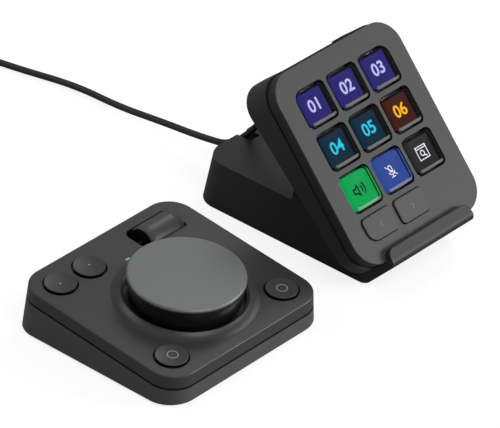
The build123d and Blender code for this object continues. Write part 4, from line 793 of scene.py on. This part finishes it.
screen_border = moulding("screen_border", (0.003, 0.003, 0.0035), 0.6, specular=0.0)
violet = lit("picture_violet", (0.022, 0.017, 0.16))
lavender = lit("mark_lavender", (0.56, 0.52, 1.0))
navy = lit("picture_navy", (0.002, 0.02, 0.045))
cyan = lit("mark_cyan", (0.02, 0.6, 0.83))
maroon = lit("picture_maroon", (0.05, 0.008, 0.004))
amber = lit("mark_amber", (1.0, 0.5, 0.012))
green = lit("picture_green", (0.0, 0.37, 0.082))
blue = lit("picture_blue", (0.028, 0.066, 0.31))
charcoal = lit("picture_charcoal", (0.02, 0.02, 0.021))
mark_black = lit("mark_black", (0.0, 0.004, 0.001))
mark_white = lit("mark_white", (0.85, 0.87, 0.9))
PICTURES = (
    (violet, lavender), (violet, lavender), (violet, lavender),
    (navy, cyan), (navy, cyan), (maroon, amber),
    (green, mark_black), (blue, mark_white), (charcoal, mark_white),
)

speaker = [
    [(-3.8, -1.3), (-2.3, -1.3), (-0.3, -2.9), (-0.3, 2.9), (-2.3, 1.3), (-3.8, 1.3)],
    [(-3.1, -0.6), (-3.1, 0.6), (-2.0, 0.6), (-1.0, 1.45), (-1.0, -1.45), (-2.0, -0.6)],
    band(2.0, 0.7, -42, 42, (-0.4, 0.0)),
    band(3.5, 0.7, -46, 46, (-0.4, 0.0)),
]
microphone = [
    arc(1.05, 0, 180, (0.0, 1.5)) + arc(1.05, 180, 360, (0.0, 0.3)),
    arc(0.6, 180, 0, (0.0, 1.5)) + arc(0.6, 360, 180, (0.0, 0.3)),
    band(1.9, THIN, 200, 340, (0.0, 0.3)),
    bar((0.0, -2.0), (0.0, -2.45), THIN),
    bar((-1.0, -2.7), (1.0, -2.7), THIN),
]
slash = [bar((-2.4, 2.4), (2.3, -2.3), THIN)]
page = [
    [(-3.2, 3.1), (-3.2, -3.1), (3.2, -3.1), (3.2, 3.1)],
    [(-2.75, 1.6), (-2.75, -2.65), (2.75, -2.65), (2.75, 1.6)],
    [(-2.6, 2.65), (2.6, 2.65), (2.6, 2.05), (-2.6, 2.05)],
    arc(1.35, 0, 350, (-0.1, -0.3), 24),
    arc(0.85, 0, 350, (-0.1, -0.3), 24),
    bar((0.95, -1.35), (1.6, -2.0), 0.5),
]
ICONS = {7: {"speaker": speaker}, 8: {"microphone": microphone, "slash": slash}, 9: {"page": page}}

for number, (ground, mark) in enumerate(PICTURES, 1):
    filled = number in FILLED
    picture = sheet(f"key_picture_{number}", SHEET_W, SHEET_H, SHEET_LOW, SHEET_TOP, SHEET_CORNER,
                    ground if filled else screen_border)
    parts = []
    if not filled:
        parts.append(sheet(f"ground_{number}", GROUND_W, GROUND_W, SHEET_TOP, GROUND_TOP,
                           GROUND_CORNER, ground))
    if number in ICONS:
        parts += [flat_mark(name, outlines, mark) for name, outlines in ICONS[number].items()]
    else:
        parts.append(number_mark(number, mark))
    make_active(picture)
    for part in parts:
        part.select_set(True)
    bpy.ops.object.join()
    seat(picture, number)
    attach(picture, f"display_key_{number}")

bpy.context.view_layer.update()
